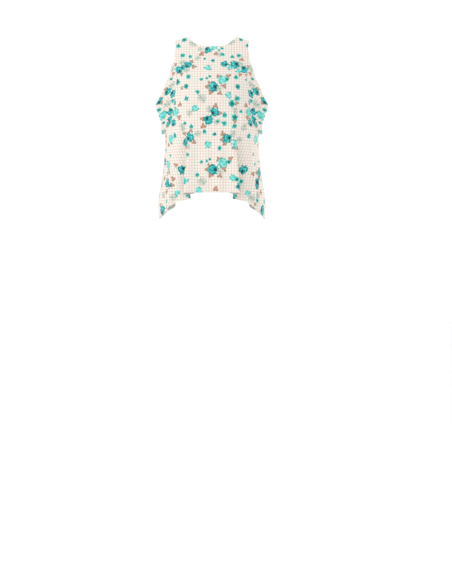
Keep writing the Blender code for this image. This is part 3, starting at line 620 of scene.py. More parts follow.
def by_length(points, count):
    """Places that divide a row of points into equal lengths, as fractional indices."""
    length = lengths_along(points)
    return np.interp(np.linspace(0.0, length[-1], count), length, np.arange(len(points)))


def read_rows(values, places):
    """Reads the rows of an array at fractional indices."""
    index = np.arange(len(values))
    return np.stack([np.interp(places, index, values[:, k]) for k in range(values.shape[1])], axis=1)


def armhole_curve(face, count):
    """Shares and heights down an armhole, from the shoulder tip to the underarm."""
    marks = [(share_at(out, height, face), height) for height, out in ARMHOLES[face]]
    marks = np.array([(1.0, SHOULDER_TIP)] + marks + [(1.0, UNDERARM)])
    length = lengths_along(plain_point(marks[:, 0], marks[:, 1], face)[0])
    return smooth_curve(length, marks, np.linspace(0.0, length[-1], count))


def side_edge(face):
    """Shares and heights down a panel's side: shoulder seam, armhole and side seam."""
    fine = 60
    shoulder = np.stack((np.ones(fine), np.linspace(0.0, SHOULDER_TIP, fine)), axis=1)
    armhole = armhole_curve(face, 6 * fine)
    seam = np.stack((np.ones(fine), np.linspace(UNDERARM, HEMS[face][-1, 1], fine)), axis=1)
    rows = []
    for stretch, count in ((shoulder, SHOULDER_ROWS), (armhole, ARMHOLE_ROWS), (seam, SIDE_ROWS)):
        solid, _ = plain_point(stretch[:, 0], stretch[:, 1], face)
        rows.append(read_rows(stretch, by_length(solid, count + 1))[:-1])
    rows.append(seam[-1:])
    return np.concatenate(rows)


def main_fold(face):
    """The fold that rolls over furthest on a face."""
    return max((fold for fold in FOLDS if fold.face == face), key=lambda fold: fold.shift)


def panel_columns(face):
    """Places across a half panel, closer together where the main fold rolls over."""
    fine = np.linspace(0.0, 1.0, 400)
    fold = main_fold(face)
    _, whole = plain_point(1.0, ROLL_END, face)
    crowd = 1.0
    for bend in (fold.out - BEND_PLACE * fold.half_width, fold.out + BEND_PLACE * fold.half_width):
        crowd = crowd + COLUMN_CROWD * np.exp(-((fine * whole - bend) / CROWD_REACH) ** 2)
    total = np.concatenate(([0.0], np.cumsum((crowd[1:] + crowd[:-1]) / 2.0)))
    return np.interp(np.linspace(0.0, total[-1], HALF_COLUMNS[face] + 1), total, fine)


def neck_curve(face, across):
    """Lengths from the centre line and heights of places that divide half a neck edge."""
    out = NECK_HALF_WIDTH * np.sin(np.linspace(0.0, pi / 2.0, 100))
    height = -NECK_DROPS[face] * (1.0 - (out / NECK_HALF_WIDTH) ** NECK_SQUARENESS)
    share = np.array([share_at(*place, face) for place in zip(out, height)])
    share[-1] = 1.0
    solid, whole = plain_point(share, height, face)
    length = lengths_along(solid)
    part = length / length[-1]
    return np.interp(across, part, share * whole), np.interp(across, part, height)


def body_miss(point, face):
    """How far points miss the plain body, as a part of its size; 0 is on it."""
    half_width, depth, power = section_at(point[..., 2], face)
    across = np.abs(point[..., 0]) / half_width
    return (across ** power + (np.abs(point[..., 1]) / depth) ** power) ** (1.0 / power) - 1.0


def even_out(share, height, face):
    """Evens out a grid on the body with its four edges held."""
    point, _ = plain_point(share, height, face)
    small = 1e-5
    for _ in range(RELAX_ROUNDS):
        inner = (point[:-2, 1:-1] + point[2:, 1:-1] + point[1:-1, :-2] + point[1:-1, 2:]) / 4.0
        miss = body_miss(inner, face)
        slope = np.stack([(body_miss(inner + axis, face) - miss) / small
                          for axis in small * np.eye(3)], axis=-1)
        point[1:-1, 1:-1] = inner - slope * (miss / (slope * slope).sum(axis=-1))[..., None]
    inner = point[1:-1, 1:-1]
    turn = np.arctan2(inner[..., 0], face * inner[..., 1])
    _, _, length = quarter_section(inner[..., 2], face)
    place = np.clip(turn / (pi / 2.0) * ARC_STEPS, 0.0, ARC_STEPS - 1e-6)
    left = place.astype(int)[..., None]
    low = np.take_along_axis(length, left, axis=-1)[..., 0]
    high = np.take_along_axis(length, left + 1, axis=-1)[..., 0]
    share, height = share.copy(), height.copy()
    share[1:-1, 1:-1] = (low + (high - low) * (place - left[..., 0])) / length[..., -1]
    height[1:-1, 1:-1] = inner[..., 2]
    return share, height


def half_panel(face):
    """Shares and heights of a half panel's guide grid, rows from the neck down to the hem."""
    across = panel_columns(face)
    edge = side_edge(face)
    solid, edge_length = plain_point(edge[:, 0], edge[:, 1], face)
    edge_length = (edge_length * edge[:, 0])[:, None]
    down = lengths_along(solid)[:, None]
    down = down / down[-1]
    neck_length, neck_height = neck_curve(face, across)
    hem_height = smooth_curve(HEMS[face][:, 0], HEMS[face][:, 1], across)
    centre = neck_height[0] + (hem_height[0] - neck_height[0]) * down
    pull = across * across
    neck_part, hem_part = (1.0 - down) ** NECK_FADE, down ** HEM_FADE
    neck_bow = neck_height - (neck_height[0] + (neck_height[-1] - neck_height[0]) * pull)
    hem_bow = hem_height - (hem_height[0] + (hem_height[-1] - hem_height[0]) * pull)
    height = centre + (edge[:, 1:] - centre) * pull + neck_part * neck_bow + hem_part * hem_bow
    _, whole = plain_point(1.0, height, face)
    neck_shift = neck_length - across * neck_length[-1]
    hem_shift = across * (whole[-1] - edge_length[-1])
    share = (across * edge_length + neck_part * neck_shift + hem_part * hem_shift) / whole
    fold = main_fold(face)
    _, hem_length = plain_point(1.0, ROLL_END, face)
    _, length = plain_point(share, height, face)
    home = fold.out / hem_length
    near = np.exp(-((across - home) * hem_length / LEAN_REACH) ** 2)
    below = smooth_step((UNDERARM - height) / LEAN_RISE)
    share = share + near * below * (fold.out / length - home)
    top = slice(EVENED_ROWS)
    share[top], height[top] = even_out(share[top], height[top], face)
    return share, height


def fine_places(count, last, edges):
    """Evenly spaced places from 0 to the last, with one more on each side of some edges."""
    extra = [last * (step > 0) - step * part for step in edges for part in EDGE_SIDES]
    return np.sort(np.append(np.linspace(0.0, last, count), extra))


def fine_panel(face):
    """The guide grid read on many more rows and columns."""
    share, height = half_panel(face)
    rows, columns = share.shape
    solid = cloth_point(share, height, face)
    hem_step = np.linalg.norm(solid[-1, 0] - solid[-2, 0])
    neck_step = np.linalg.norm(solid[1, 0] - solid[0, 0])
    down = fine_places(FINE_ROWS, rows - 1, [-HEM_WIDTH / neck_step, HEM_WIDTH / hem_step])
    edge_step = np.linalg.norm(solid[SHOULDER_ROWS + 3, -1] - solid[SHOULDER_ROWS + 3, -2])
    edges = [HEM_WIDTH / edge_step, DITCH_WIDTH / edge_step]
    across = fine_places(FINE_COLUMNS[face], columns - 1, edges)
    grids = []
    for grid in (share, height):
        tall = smooth_curve(np.arange(float(rows)), grid, down)
        grids.append(smooth_curve(np.arange(float(columns)), tall.T, across).T)
    share, height = grids
    _, whole = plain_point(share, height, face)
    edge = share[:, -1:]
    share = np.minimum(share, edge - SEAM_GAP / 2.0 / whole[:, -1:])
    return share, height, whole


# The lengths along the cloth, folds and all, from the centre line to each share at each level,
# and the lengths down the middle of each face.
LEVELS = np.linspace(0.0, -0.58, 117)
LEVEL_SHARES = np.linspace(0.0, 1.0, 301)
level_share, level_height = np.meshgrid(LEVEL_SHARES, LEVELS)
LENGTHS = {face: lengths_across(cloth_point(level_share, level_height, face)) for face in (FRONT, BACK)}
DOWN = {face: lengths_along(np.stack((LEVELS, section_at(LEVELS, face)[1]), axis=1))
        for face in (FRONT, BACK)}


def cut_place(share, height, face):
    """Where a point lies on the flat cloth: the length from the centre line, and down."""
    table = LENGTHS[face]
    inside = 1.001           # keeps the row and the column after a place within the table
    row = np.clip(height / LEVELS[-1] * (len(LEVELS) - 1), 0.0, len(LEVELS) - inside)
    column = np.clip(share * (len(LEVEL_SHARES) - 1), 0.0, len(LEVEL_SHARES) - inside)
    top, left = row.astype(int), column.astype(int)
    down, along = row - top, column - left
    upper = table[top, left] * (1.0 - along) + table[top, left + 1] * along
    lower = table[top + 1, left] * (1.0 - along) + table[top + 1, left + 1] * along
    return upper * (1.0 - down) + lower * down, np.interp(-height, -LEVELS, DOWN[face])


def crease_rise(out, height, face):
    """How far the creases lift the cloth, at signed lengths from the centre line."""
    total = np.zeros_like(out)
    for crease in CREASES:
        if crease.face != face:
            continue
        start = np.array((crease.out, crease.height))
        way = np.array((crease.end_out, crease.end_height)) - start
        reach = np.hypot(*way)
        way = way / reach
        along = ((out - start[0]) * way[0] + (height - start[1]) * way[1]) / reach
        aside = (out - start[0]) * way[1] - (height - start[1]) * way[0]
        aside = aside - crease.bow * np.sin(pi * np.clip(along, 0.0, 1.0))
        if crease.end_height < TO_HEM:
            fade = smooth_step(along / HEM_CREASE_RISE)
        else:
            fade = smooth_step(along / CREASE_RISE) * smooth_step((1.0 - along) / CREASE_FALL)
        total += crease.rise * fade * np.exp(-(aside / crease.half_width) ** 2)
    return total


def square_to(middle):
    """Directions square to a grid of points."""
    return unit(np.cross(np.gradient(middle, axis=0), np.gradient(middle, axis=1)))


def grid_normals(middle, outward):
    """Directions square to a grid of points, on the side of a direction."""
    normal = square_to(middle)
    return normal * np.sign((normal * outward).sum())


FIRST_DEPTH, DEPTH_ROUNDS = 0.1, 8               # find how far forward a charted motif lies
HIGHEST_MOTIF = -0.001


def chart_places():
    """The places of the chart's motifs on the flat cloth: across and down, in metres."""
    places = []
    for motif in CHART:
        depth = FIRST_DEPTH
        for _ in range(DEPTH_ROUNDS):
            near = 1.0 - depth / -CAMERA_PLACE.y
            out = CAMERA_PLACE.x + (motif.across / 1000.0 - CAMERA_PLACE.x) * near
            height = CAMERA_PLACE.z + (motif.height / 1000.0 - CAMERA_PLACE.z) * near
            height = min(height, HIGHEST_MOTIF)
            share = share_at(abs(out), height, FRONT)
            depth = -float(plain_point(share, height, FRONT)[0][1])
        across, down = cut_place(np.array(share), np.array(height), FRONT)
        places.append((np.sign(out) * float(across), float(down)))
    return np.array(places)


# A print is a set of motifs, their places on the flat cloth and how often they come again. The
# backs carry one small repeat of the chart's middle, and it fills the front's hidden sides.
Print = namedtuple("Print", "motifs places repeat")
SMALL_REPEAT = np.array((0.215, 0.257))
UNREPEATED = np.array((9.0, 9.0))
REPEAT_OUT = 105             # the repeat's motifs are the chart's up to here, in millimetres
CHARTED_OUT = 0.165          # the chart covers the front up to here from its centre line
FILLED_OUT = 0.300           # and the repeat fills it from there to here
FILL_STEPS = ((-2, 0), (-1, 0), (1, 0), (2, 0), (-2, 1), (-1, 1), (1, 1), (2, 1), (-1, -1), (1, -1))
CLEAR_OF_ROSES, CLEAR_OF_OTHERS = 0.026, 0.017

all_places = chart_places()
picked = [k for k, motif in enumerate(CHART) if abs(motif.across) < REPEAT_OUT
          and BAND_HIGH - PRINT_REPEAT < motif.height <= BAND_HIGH]
back_print = Print([CHART[k] for k in picked], all_places[picked], SMALL_REPEAT)
side_motifs, side_places = list(CHART), list(all_places)
for motif, place in zip(back_print.motifs, back_print.places):
    for step in FILL_STEPS:
        moved = place + SMALL_REPEAT * step
        clear = CLEAR_OF_ROSES if motif.kind in (ROSE, PALE_ROSE) else CLEAR_OF_OTHERS
        nearest = np.linalg.norm(np.array(side_places) - moved, axis=1).min()
        if CHARTED_OUT < abs(moved[0]) < FILLED_OUT and nearest > clear:
            side_motifs.append(motif)
            side_places.append(moved)
front_print = Print(side_motifs, np.array(side_places), UNREPEATED)


def lay_print(mesh, corners, print_used):
    """Gives each corner of each face its place in the nearest motif of each printed layer."""
    middle = corners.mean(axis=1)
    for layer, kinds in PRINT_LAYERS.items():
        best = np.full(len(middle), np.inf)
        values = np.zeros(corners.shape[:2] + (3,))
        for motif, place in zip(print_used.motifs, print_used.places):
            if motif.kind not in kinds:
                continue
            size = motif.size * SPREADS[motif.kind] / 1000.0
            offset = middle - place
            offset -= print_used.repeat * np.round(offset / print_used.repeat)
            nearness = np.linalg.norm(offset, axis=1) / size
            closer = nearness < best
            best = np.where(closer, nearness, best)
            local = (corners[closer] - middle[closer][:, None] + offset[closer][:, None]) / size
            turn = radians(motif.turn)
            values[closer, :, 0] = local[..., 0] * cos(turn) - local[..., 1] * sin(turn)
            values[closer, :, 1] = local[..., 0] * sin(turn) + local[..., 1] * cos(turn)
            values[closer, :, 2] = motif.kind
        attribute = mesh.attributes.new(layer, "FLOAT_VECTOR", "CORNER")
        attribute.data.foreach_set("vector", values.reshape(-1).astype(np.float32))


def placed(name, mesh):
    """A piece of cloth made from a finished mesh, which goes with the blouse."""
    piece = bpy.data.objects.new(name, mesh)
    bpy.context.scene.collection.objects.link(piece)
    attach(piece, "root")
    return piece


def make_cloth_piece(name, middle, outward, cut, thickness, print_used):
    """A closed thin shell round a grid of points, printed by their places on the flat cloth."""
    rows, columns = middle.shape[:2]
    normal = grid_normals(middle, outward)
    half = CLOTH_THICKNESS / 2.0
    outer = middle + normal * half
    inner = middle + normal * (half - thickness)[..., None]
    points = np.concatenate((outer.reshape(-1, 3), inner.reshape(-1, 3)))
    index = np.arange(rows * columns).reshape(rows, columns)
    quads = (index[:-1, :-1], index[1:, :-1], index[1:, 1:], index[:-1, 1:])
    quads = np.stack(quads, axis=-1).reshape(-1, 4)
    rim = np.concatenate((index[0, :-1], index[:-1, -1], index[-1, :0:-1], index[:0:-1, 0]))
    ends = np.roll(rim, -1)
    size = rows * columns
    band = np.stack((rim, ends, ends + size, rim + size), axis=-1)
    faces = np.concatenate((quads, quads[:, ::-1] + size, band))
    first = points[quads[0]]
    if np.dot(np.cross(first[1] - first[0], first[3] - first[0]), normal[0, 0]) < 0.0:
        faces = faces[:, ::-1]
    mesh = bpy.data.meshes.new(name)
    mesh.from_pydata(points.tolist(), [], faces.tolist())
    corners = np.tile(cut.reshape(-1, 2), (2, 1))[faces]
    mesh.uv_layers.new(name="cut")
    mesh.uv_layers["cut"].data.foreach_set("uv", corners.reshape(-1).astype(np.float32))
    lay_print(mesh, corners, print_used)
    mesh.materials.append(right_side)
    mesh.materials.append(shaded_wrong_side)
    turned_up = thickness.reshape(-1)[quads].mean(axis=1) > (CLOTH_THICKNESS + HEM_THICKNESS) / 2.0
    sides = np.zeros(len(faces), dtype=np.int32)
    sides[len(quads):2 * len(quads)] = ~turned_up
    mesh.polygons.foreach_set("material_index", sides)
    mesh.shade_smooth()
    mesh.set_sharp_from_angle(angle=radians(50.0))
    mesh.validate()
    return placed(name, mesh)


def hem_thickness(edge_distance):
    """The cloth's thickness by the distance from a hemmed edge."""
    turned = 1.0 - smooth_step((edge_distance - HEM_WIDTH) / HEM_EDGE + 0.5)
    return CLOTH_THICKNESS + (HEM_THICKNESS - CLOTH_THICKNESS) * turned


def body_thickness(middle, open_edge):
    """The thickness of a half panel: hemmed at its neck, at its hem and where its side is open."""
    down, side = lengths_along(middle), lengths_across(middle)
    thick = np.maximum(hem_thickness(down), hem_thickness(down[-1] - down))
    return np.maximum(thick, np.where(open_edge, hem_thickness(side[:, -1:] - side), 0.0))


def mirrored(points):
    """The same points on the wearer's right half."""
    return points * np.array((-1.0, 1.0, 1.0))


FLOUNCE_TOP = -0.0850        # the flounce's seam starts below this height of the armhole
BODY_MIDDLE = np.array((0.0, 0.0, -0.3))
SEAM_HOLD = 0.016            # the creases die out within this much of a seam


def body_half(face, side):
    """One half of a face: points, places on the flat cloth and thickness; side is 1 or -1."""
    share, height, whole = fine_panel(face)
    if face == BACK:
        share = np.maximum(share, slit_opening(height) / whole)
    middle = cloth_point(share, height, face)
    out, down = cut_place(share, height, face)
    normal = grid_normals(middle, (middle - BODY_MIDDLE) * (1.0, 1.0, 0.0))
    columns = lengths_across(middle)
    to_edge = columns[:, -1:] - columns
    hold = smooth_step(to_edge / SEAM_HOLD)
    if face == BACK:
        hold = hold * smooth_step(columns / SEAM_HOLD)
    edge = height[:, -1:]
    open_edge = (edge < SHOULDER_TIP) & (edge > FLOUNCE_TOP)
    ditch = smooth_step(1.0 - to_edge / DITCH_WIDTH) * ~open_edge
    rise = crease_rise(side * out, height, face) * hold - DITCH_DEPTH * ditch
    middle = middle + normal * rise[..., None]
    thickness = body_thickness(middle, open_edge)
    if side < 0:
        middle = mirrored(middle)
    return middle, np.stack((side * out, down), axis=-1), thickness


left, left_cut, left_thick = body_half(FRONT, 1)
right, right_cut, right_thick = body_half(FRONT, -1)
front_middle = np.concatenate((right[:, :0:-1], left), axis=1)
front_middle[:, left.shape[1] - 1] = (left[:, 0] + right[:, 0]) / 2.0
front_cut = np.concatenate((right_cut[:, :0:-1], left_cut), axis=1)
front_thick = np.concatenate((right_thick[:, :0:-1], left_thick), axis=1)
FORWARD = np.array((0.0, -1.0, 0.0))
front = make_cloth_piece("front_panel", front_middle, FORWARD, front_cut, front_thick, front_print)
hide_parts("front")

# The two backs, cut as a pair and joined in a centre back seam that is left open at its top,
# where a button and a loop close it. They hang in softer folds than the front.
SLIT_BOTTOM = -0.140
SLIT_HALF_WIDTH = 0.0012
BACK_CUT_FROM = np.array((0.052, 0.071))         # where the backs' cut starts on the print


def slit_opening(height):
    """Half the space between the two backs at a height."""
    part = np.clip((height - SLIT_BOTTOM) / (-NECK_DROPS[BACK] - SLIT_BOTTOM), 0.0, 1.0)
    return SEAM_GAP / 2.0 + SLIT_HALF_WIDTH * np.sin(pi * part) ** 2


back_middles = {}
for name, side in (("back_left", 1), ("back_right", -1)):
    middle, cut, thick = body_half(BACK, side)
    back_middles[side] = middle
    back = make_cloth_piece(name + "_panel", middle, -FORWARD, cut + BACK_CUT_FROM, thick, back_print)
    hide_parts(name)

# The flounces: a shaped strip sewn round the lower part of each armhole, cut on the cross so
# that its check runs slantwise, with a narrow turned hem along its free edge.
FLOUNCE_ROWS = 26
FLOUNCE_STATIONS = 300
FLOUNCE_END = 0.020          # how strongly its free edge points outwards
RUFFLES = 6                  # waves along the free edge
RUFFLE_DEPTH = 0.0035
RUFFLE_ENDS = 0.12           # share of the seam over which the waves die out
BIAS = radians(40.0)
FLOUNCE_OUTWARD = {side: np.array((side, -0.4, 0.0)) for side in (1, -1)}

# Where the motifs lie on a flounce, in millimetres: along its seam from the front's top, and out.
FLOUNCE_CHART = [Motif(*row) for row in (
    (SPRIG, 20, 8, 8, 100), (LEAVES, 38, 10, 6, 40), (DARK_BUD, 52, 22, 5, 0),
    (SPRIG, 76, 18, 10, 60), (ROSE, 92, 31, 11, 60), (ROSE, 107, 9, 10, 10),
    (ROSE, 112, 60, 12, 150), (LEAVES, 124, 50, 6, 0), (LEAVES, 78, 40, 5, 100),
    (SPRIG, 136, 26, 11, 60), (BUD, 148, 52, 7, 40), (ROSE, 162, 12, 10, 300),
    (PALE_ROSE, 168, 38, 12, 20), (BUD, 130, 8, 6, 0), (ROSE, 186, 7, 9, 80),
    (ROSE, 202, 6, 9, 260), (LEAVES, 214, 7, 5, 330), (DARK_BUD, 194, 30, 5, 0),
    (PALE_ROSE, 240, 14, 9, 70), (BUD, 262, 12, 6, 0), (LEAVES, 278, 18, 6, 200),
    (ROSE, 292, 28, 11, 30), (SPRIG, 312, 18, 9, 300), (BUD, 318, 44, 7, 0),
    (PALE_ROSE, 340, 30, 11, 220), (ROSE, 358, 50, 11, 110), (LEAVES, 352, 14, 6, 60),
    (DARK_BUD, 380, 34, 6, 0), (ROSE, 388, 12, 10, 10), (BUD, 412, 22, 6, 0),
    (SPRIG, 434, 10, 8, 40),
)]
# The free edge, by the share of the seam from its front end to its back end: distance out, depth
# and height, and how strongly the flounce leaves along the panel before it turns outwards.
FREE_EDGE = np.array((
    (0.000, 0.1235, -0.0540, -0.0950, 0.010), (0.074, 0.1350, -0.0610, -0.1350, 0.035),
    (0.148, 0.1520, -0.0640, -0.1800, 0.050), (0.185, 0.1640, -0.0620, -0.1990, 0.055),
    (0.222, 0.1735, -0.0580, -0.2170, 0.055), (0.259, 0.1700, -0.0590, -0.2310, 0.050),
    (0.297, 0.1620, -0.0600, -0.2480, 0.045), (0.370, 0.1565, -0.0560, -0.2810, 0.020),
    (0.443, 0.1550, -0.0340, -0.2980, 0.012), (0.517, 0.1550, 0.0000, -0.3025, 0.010),
    (0.592, 0.1550, 0.0340, -0.2980, 0.012), (0.665, 0.1560, 0.0540, -0.2810, 0.020),
    (0.739, 0.1600, 0.0600, -0.2470, 0.045), (0.776, 0.1660, 0.0580, -0.2300, 0.050),
    (0.814, 0.1670, 0.0580, -0.2150, 0.055), (0.851, 0.1590, 0.0600, -0.1990, 0.055),
    (0.925, 0.1380, 0.0640, -0.1560, 0.040), (1.000, 0.1150, 0.0680, -0.1030, 0.010),
))


def cloth_normal(share, height, face):
    """The outward direction of the body cloth."""
    near, small = 1e-4, 1e-5
    across = (cloth_point(np.minimum(share + near, 1.0), height, face)
              - cloth_point(np.maximum(share - near, 0.0), height, face))
    up = cloth_point(share, height + small, face) - cloth_point(share, height - small, face)
    return unit(np.cross(up, across) * face)


def flounce_seam():
    """The seam's points down the front and up the back, and the way the flounce leaves each."""
    parts = []
    for face in (FRONT, BACK):
        edge = side_edge(face)[SHOULDER_ROWS:SHOULDER_ROWS + ARMHOLE_ROWS + 1]
        edge = edge[edge[:, 1] <= FLOUNCE_TOP]
        _, whole = plain_point(edge[:, 0], edge[:, 1], face)
        share = edge[:, 0] - SEAM_GAP / 2.0 / whole
        point = cloth_point(share, edge[:, 1], face)
        normal = cloth_normal(share, edge[:, 1], face)
        parts.append(np.concatenate((point, normal), axis=1))
    underarm = (parts[0][-1:] + parts[1][-1:]) / 2.0
    path = np.concatenate((parts[0][:-1], underarm, parts[1][-2::-1]))
    point, normal = path[:, :3], path[:, 3:]
    leaving = unit(np.cross(normal, np.gradient(point, axis=0)))
    index = np.arange(float(len(path)))
    stations = np.linspace(0.0, len(path) - 1.0, FLOUNCE_STATIONS)
    return [smooth_curve(index, values, stations) for values in (point + leaving * SEAM_GAP, leaving)]


start, leaving = flounce_seam()
seam_length = lengths_along(start)
share = seam_length / seam_length[-1]
free_edge = smooth_curve(FREE_EDGE[:, 0], FREE_EDGE[:, 1:], share)
free, lift = free_edge[:, :3], free_edge[:, 3:]
reach = free - start
width = np.linalg.norm(reach, axis=1, keepdims=True)
across = fine_places(FLOUNCE_ROWS, 1.0, [HEM_WIDTH / width.mean()])[:, None, None]
rest = 1.0 - across
flounce_middle = (rest * rest * (1.0 + 2.0 * across) * start
                  + across * rest * rest * leaving * lift
                  + across * across * (3.0 - 2.0 * across) * free
                  - across * across * rest * reach / width * np.minimum(FLOUNCE_END, width))
ends = smooth_step(share / RUFFLE_ENDS) * smooth_step((1.0 - share) / RUFFLE_ENDS)
wave = (RUFFLE_DEPTH * np.sin(2.0 * pi * RUFFLES * share) * ends)[:, None]
flounce_middle = flounce_middle + square_to(flounce_middle) * wave * smooth_step(across)
flounce_width = lengths_along(flounce_middle)
flounce_thick = hem_thickness(flounce_width[-1] - flounce_width)


def on_the_cross(run, width):
    """Places on the flat cloth of points along and across a flounce, which is cut slantwise."""
    across = run * cos(BIAS) - width * sin(BIAS)
    return np.stack((across, run * sin(BIAS) + width * cos(BIAS)), axis=-1)


charted = np.array([(motif.across, motif.height) for motif in FLOUNCE_CHART]) / 1000.0
flounce_print = Print(FLOUNCE_CHART, on_the_cross(*charted.T), UNREPEATED)
cut = on_the_cross(seam_length + np.zeros_like(flounce_width), flounce_width)
flounce_middles = {1: flounce_middle, -1: mirrored(flounce_middle)}
for name, side in (("flounce_left", 1), ("flounce_right", -1)):
    flounce = make_cloth_piece(name + "_strip", flounce_middles[side], FLOUNCE_OUTWARD[side],
                               cut, flounce_thick, flounce_print)
    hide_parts(name)

# The hems are held by a row of machine stitches in cream thread, seen on both faces: along the
# neck, the armholes above the flounces, the flounces' free edges and the body's hem.
STITCH_LENGTH = 0.0022
STITCH_PITCH = 0.0029
STITCH_RADIUS = 0.00024
STITCH_INSET = 0.0048        # from the edge to the row of stitches
CLEAR_OF_TIP = 0.002         # from the shoulder's tip down to the armhole's first stitch
THREAD, THREAD_SHADE = srgb(232, 224, 210), srgb(206, 196, 180)

bpy.ops.object.select_all(action="DESELECT")
bpy.ops.mesh.primitive_uv_sphere_add(segments=6, ring_count=4, radius=1.0)
bpy.ops.object.mode_set(mode="EDIT")
bpy.ops.mesh.select_all(action="SELECT")
bpy.ops.transform.resize(value=(STITCH_LENGTH / 2.0, STITCH_RADIUS, STITCH_RADIUS))
bpy.ops.object.mode_set(mode="OBJECT")
pattern = bpy.context.object
stitch_points = np.array([vertex.co for vertex in pattern.data.vertices])
stitch_faces = [tuple(polygon.vertices) for polygon in pattern.data.polygons]
bpy.data.objects.remove(pattern)


def inset_line(middle, outward, inset):
    """The line at a distance from a grid's first row: places and outward directions."""
    both = np.concatenate((middle, grid_normals(middle, outward)), axis=-1)
    down = lengths_along(middle)
    rows = np.arange(len(middle))
    return np.array([read_rows(both[:, column], [np.interp(inset, down[:, column], rows)])[0]
                     for column in range(middle.shape[1])])


def stitched(line):
    """The corners of a row of stitches along a line, on both faces of a hem."""
    length = lengths_along(line[:, :3])
    marks = np.arange(STITCH_PITCH / 2.0, length[-1], STITCH_PITCH)
    read = lambda places: read_rows(line, np.interp(places, length, np.arange(len(line))))
    centre, up = read(marks)[:, :3], unit(read(marks)[:, 3:])
    ahead, behind = read(marks + STITCH_LENGTH / 2.0), read(marks - STITCH_LENGTH / 2.0)
    along = unit(ahead[:, :3] - behind[:, :3])
    aside = np.cross(up, along)
    half = CLOTH_THICKNESS / 2.0
    rows = []
    for rise in (half, half - HEM_THICKNESS):
        rows.append(centre[:, None] + up[:, None] * (rise + stitch_points[:, 2:])
                    + along[:, None] * stitch_points[:, :1] + aside[:, None] * stitch_points[:, 1:2])
    return np.concatenate(rows)


def clouded(name, roughness, colours, scale, gain):
    """A material and its shader, with two colours that drift into each other."""
    material, shader = painted(name, roughness)
    place = Wire(material.node_tree).add("ShaderNodeTexCoord", None, None, 3)
    cloud = place.add("ShaderNodeTexNoise", None, {"Vector": place, "Scale": scale})
    colour = ((cloud - 0.3) * gain).mixed(*colours)
    material.node_tree.links.new(colour.socket, shader.inputs["Base Color"])
    return material, shader


panels = [(front_middle, FORWARD), (back_middles[1], -FORWARD), (back_middles[-1], -FORWARD)]
hem_lines = [inset_line(rows, outward, STITCH_INSET)
             for middle, outward in panels for rows in (middle, middle[::-1])]
for middle, outward in panels + [(front_middle[:, ::-1], FORWARD)]:
    edge = middle[:, -1, 2]
    rows = middle[(edge < SHOULDER_TIP - CLEAR_OF_TIP) & (edge > FLOUNCE_TOP), ::-1]
    hem_lines.append(inset_line(rows.transpose(1, 0, 2), outward, STITCH_INSET))
for side, middle in flounce_middles.items():
    hem_lines.append(inset_line(middle[::-1], FLOUNCE_OUTWARD[side], STITCH_INSET))
corners = np.concatenate([stitched(line) for line in hem_lines])
count = corners.shape[1]
stitch_mesh = bpy.data.meshes.new("hem_stitches")
stitch_mesh.from_pydata(corners.reshape(-1, 3).tolist(), [],
                        [tuple(first + corner for corner in face)
                         for first in range(0, len(corners) * count, count) for face in stitch_faces])
stitch_mesh.shade_smooth()
stitch_mesh.materials.append(clouded("thread", 0.7, (THREAD, THREAD_SHADE), 1500.0, 1.6)[0])
placed("hem_stitches", stitch_mesh)

# Inside, the allowances of the shoulder, side and centre back seams are pressed apart over the
# wrong side of the cloth, and those of the flounces are pressed towards the body.
ALLOWANCE = 0.010
ALLOWANCE_LIFT = 0.0006      # from the cloth's middle in to the allowance's
ALLOWANCE_INSETS = (ALLOWANCE, ALLOWANCE * 0.5, 0.0002)
ALLOWANCE_MARGIN = 0.003     # of the panel's rows that are read beyond its ends
SHOULDER_TOP = -0.0005       # where the allowances' upper and lower ends lie
SIDE_LOW, CENTRE_LOW = -0.5610, -0.4700
CLEAR_OF_UNDERARM = 0.001
SHOULDER_STEPS, LONG_STEPS, CENTRE_STEPS = 12, 90, 110


def beside_edge(middle, outward, heights, below=ALLOWANCE_MARGIN):
    """Lines on a panel at each inset from its last column, read at heights down its edge."""
    edge = middle[:, -1, 2]
    near = middle[(edge <= heights[0] + ALLOWANCE_MARGIN) & (edge >= heights[-1] - below)]
    where = np.interp(heights, near[::-1, -1, 2], np.arange(len(near))[::-1])
    return [read_rows(inset_line(near[:, ::-1].transpose(1, 0, 2), outward, inset), where)
            for inset in ALLOWANCE_INSETS]


def pressed(name, lines):
    """A seam allowance along lines on the cloth, each with its outward direction."""
    lines = np.array(lines)
    middle = lines[..., :3] - lines[..., 3:] * ALLOWANCE_LIFT
    cut = np.stack((lengths_along(middle), lengths_across(middle)), axis=-1)
    thick = np.full(middle.shape[:2], CLOTH_THICKNESS)
    strip = make_cloth_piece(name, middle, -lines[..., 3:], cut, thick, back_print)


def pressed_open(name, first, second, heights):
    """Both allowances of a seam between two panels, each given with its way outwards."""
    lines = beside_edge(*first, heights) + beside_edge(*second, heights)[::-1]
    pressed(name, lines)


shoulder_heights = np.linspace(SHOULDER_TOP, SHOULDER_TIP, SHOULDER_STEPS)
side_heights = np.linspace(UNDERARM, SIDE_LOW, LONG_STEPS)
armhole_heights = np.linspace(FLOUNCE_TOP, UNDERARM + CLEAR_OF_UNDERARM, LONG_STEPS)
armhole_below = ALLOWANCE_MARGIN + CLEAR_OF_UNDERARM
for word, side in (("left", 1), ("right", -1)):
    fore = (front_middle[:, ::side], FORWARD)
    hind = (back_middles[side], -FORWARD)
    pressed_open("shoulder_allowance_" + word, fore, hind, shoulder_heights)
    pressed_open("side_allowance_" + word, fore, hind, side_heights)
    for face, panel in (("front_", fore), ("back_", hind)):
        lines = beside_edge(*panel, armhole_heights, armhole_below)
        pressed("flounce_allowance_" + face + word, lines)
centre_edges = [(back_middles[side][:, ::-1], -FORWARD) for side in (1, -1)]
centre_heights = np.linspace(SLIT_BOTTOM, CENTRE_LOW, CENTRE_STEPS)
pressed_open("centre_back_allowance", *centre_edges, centre_heights)

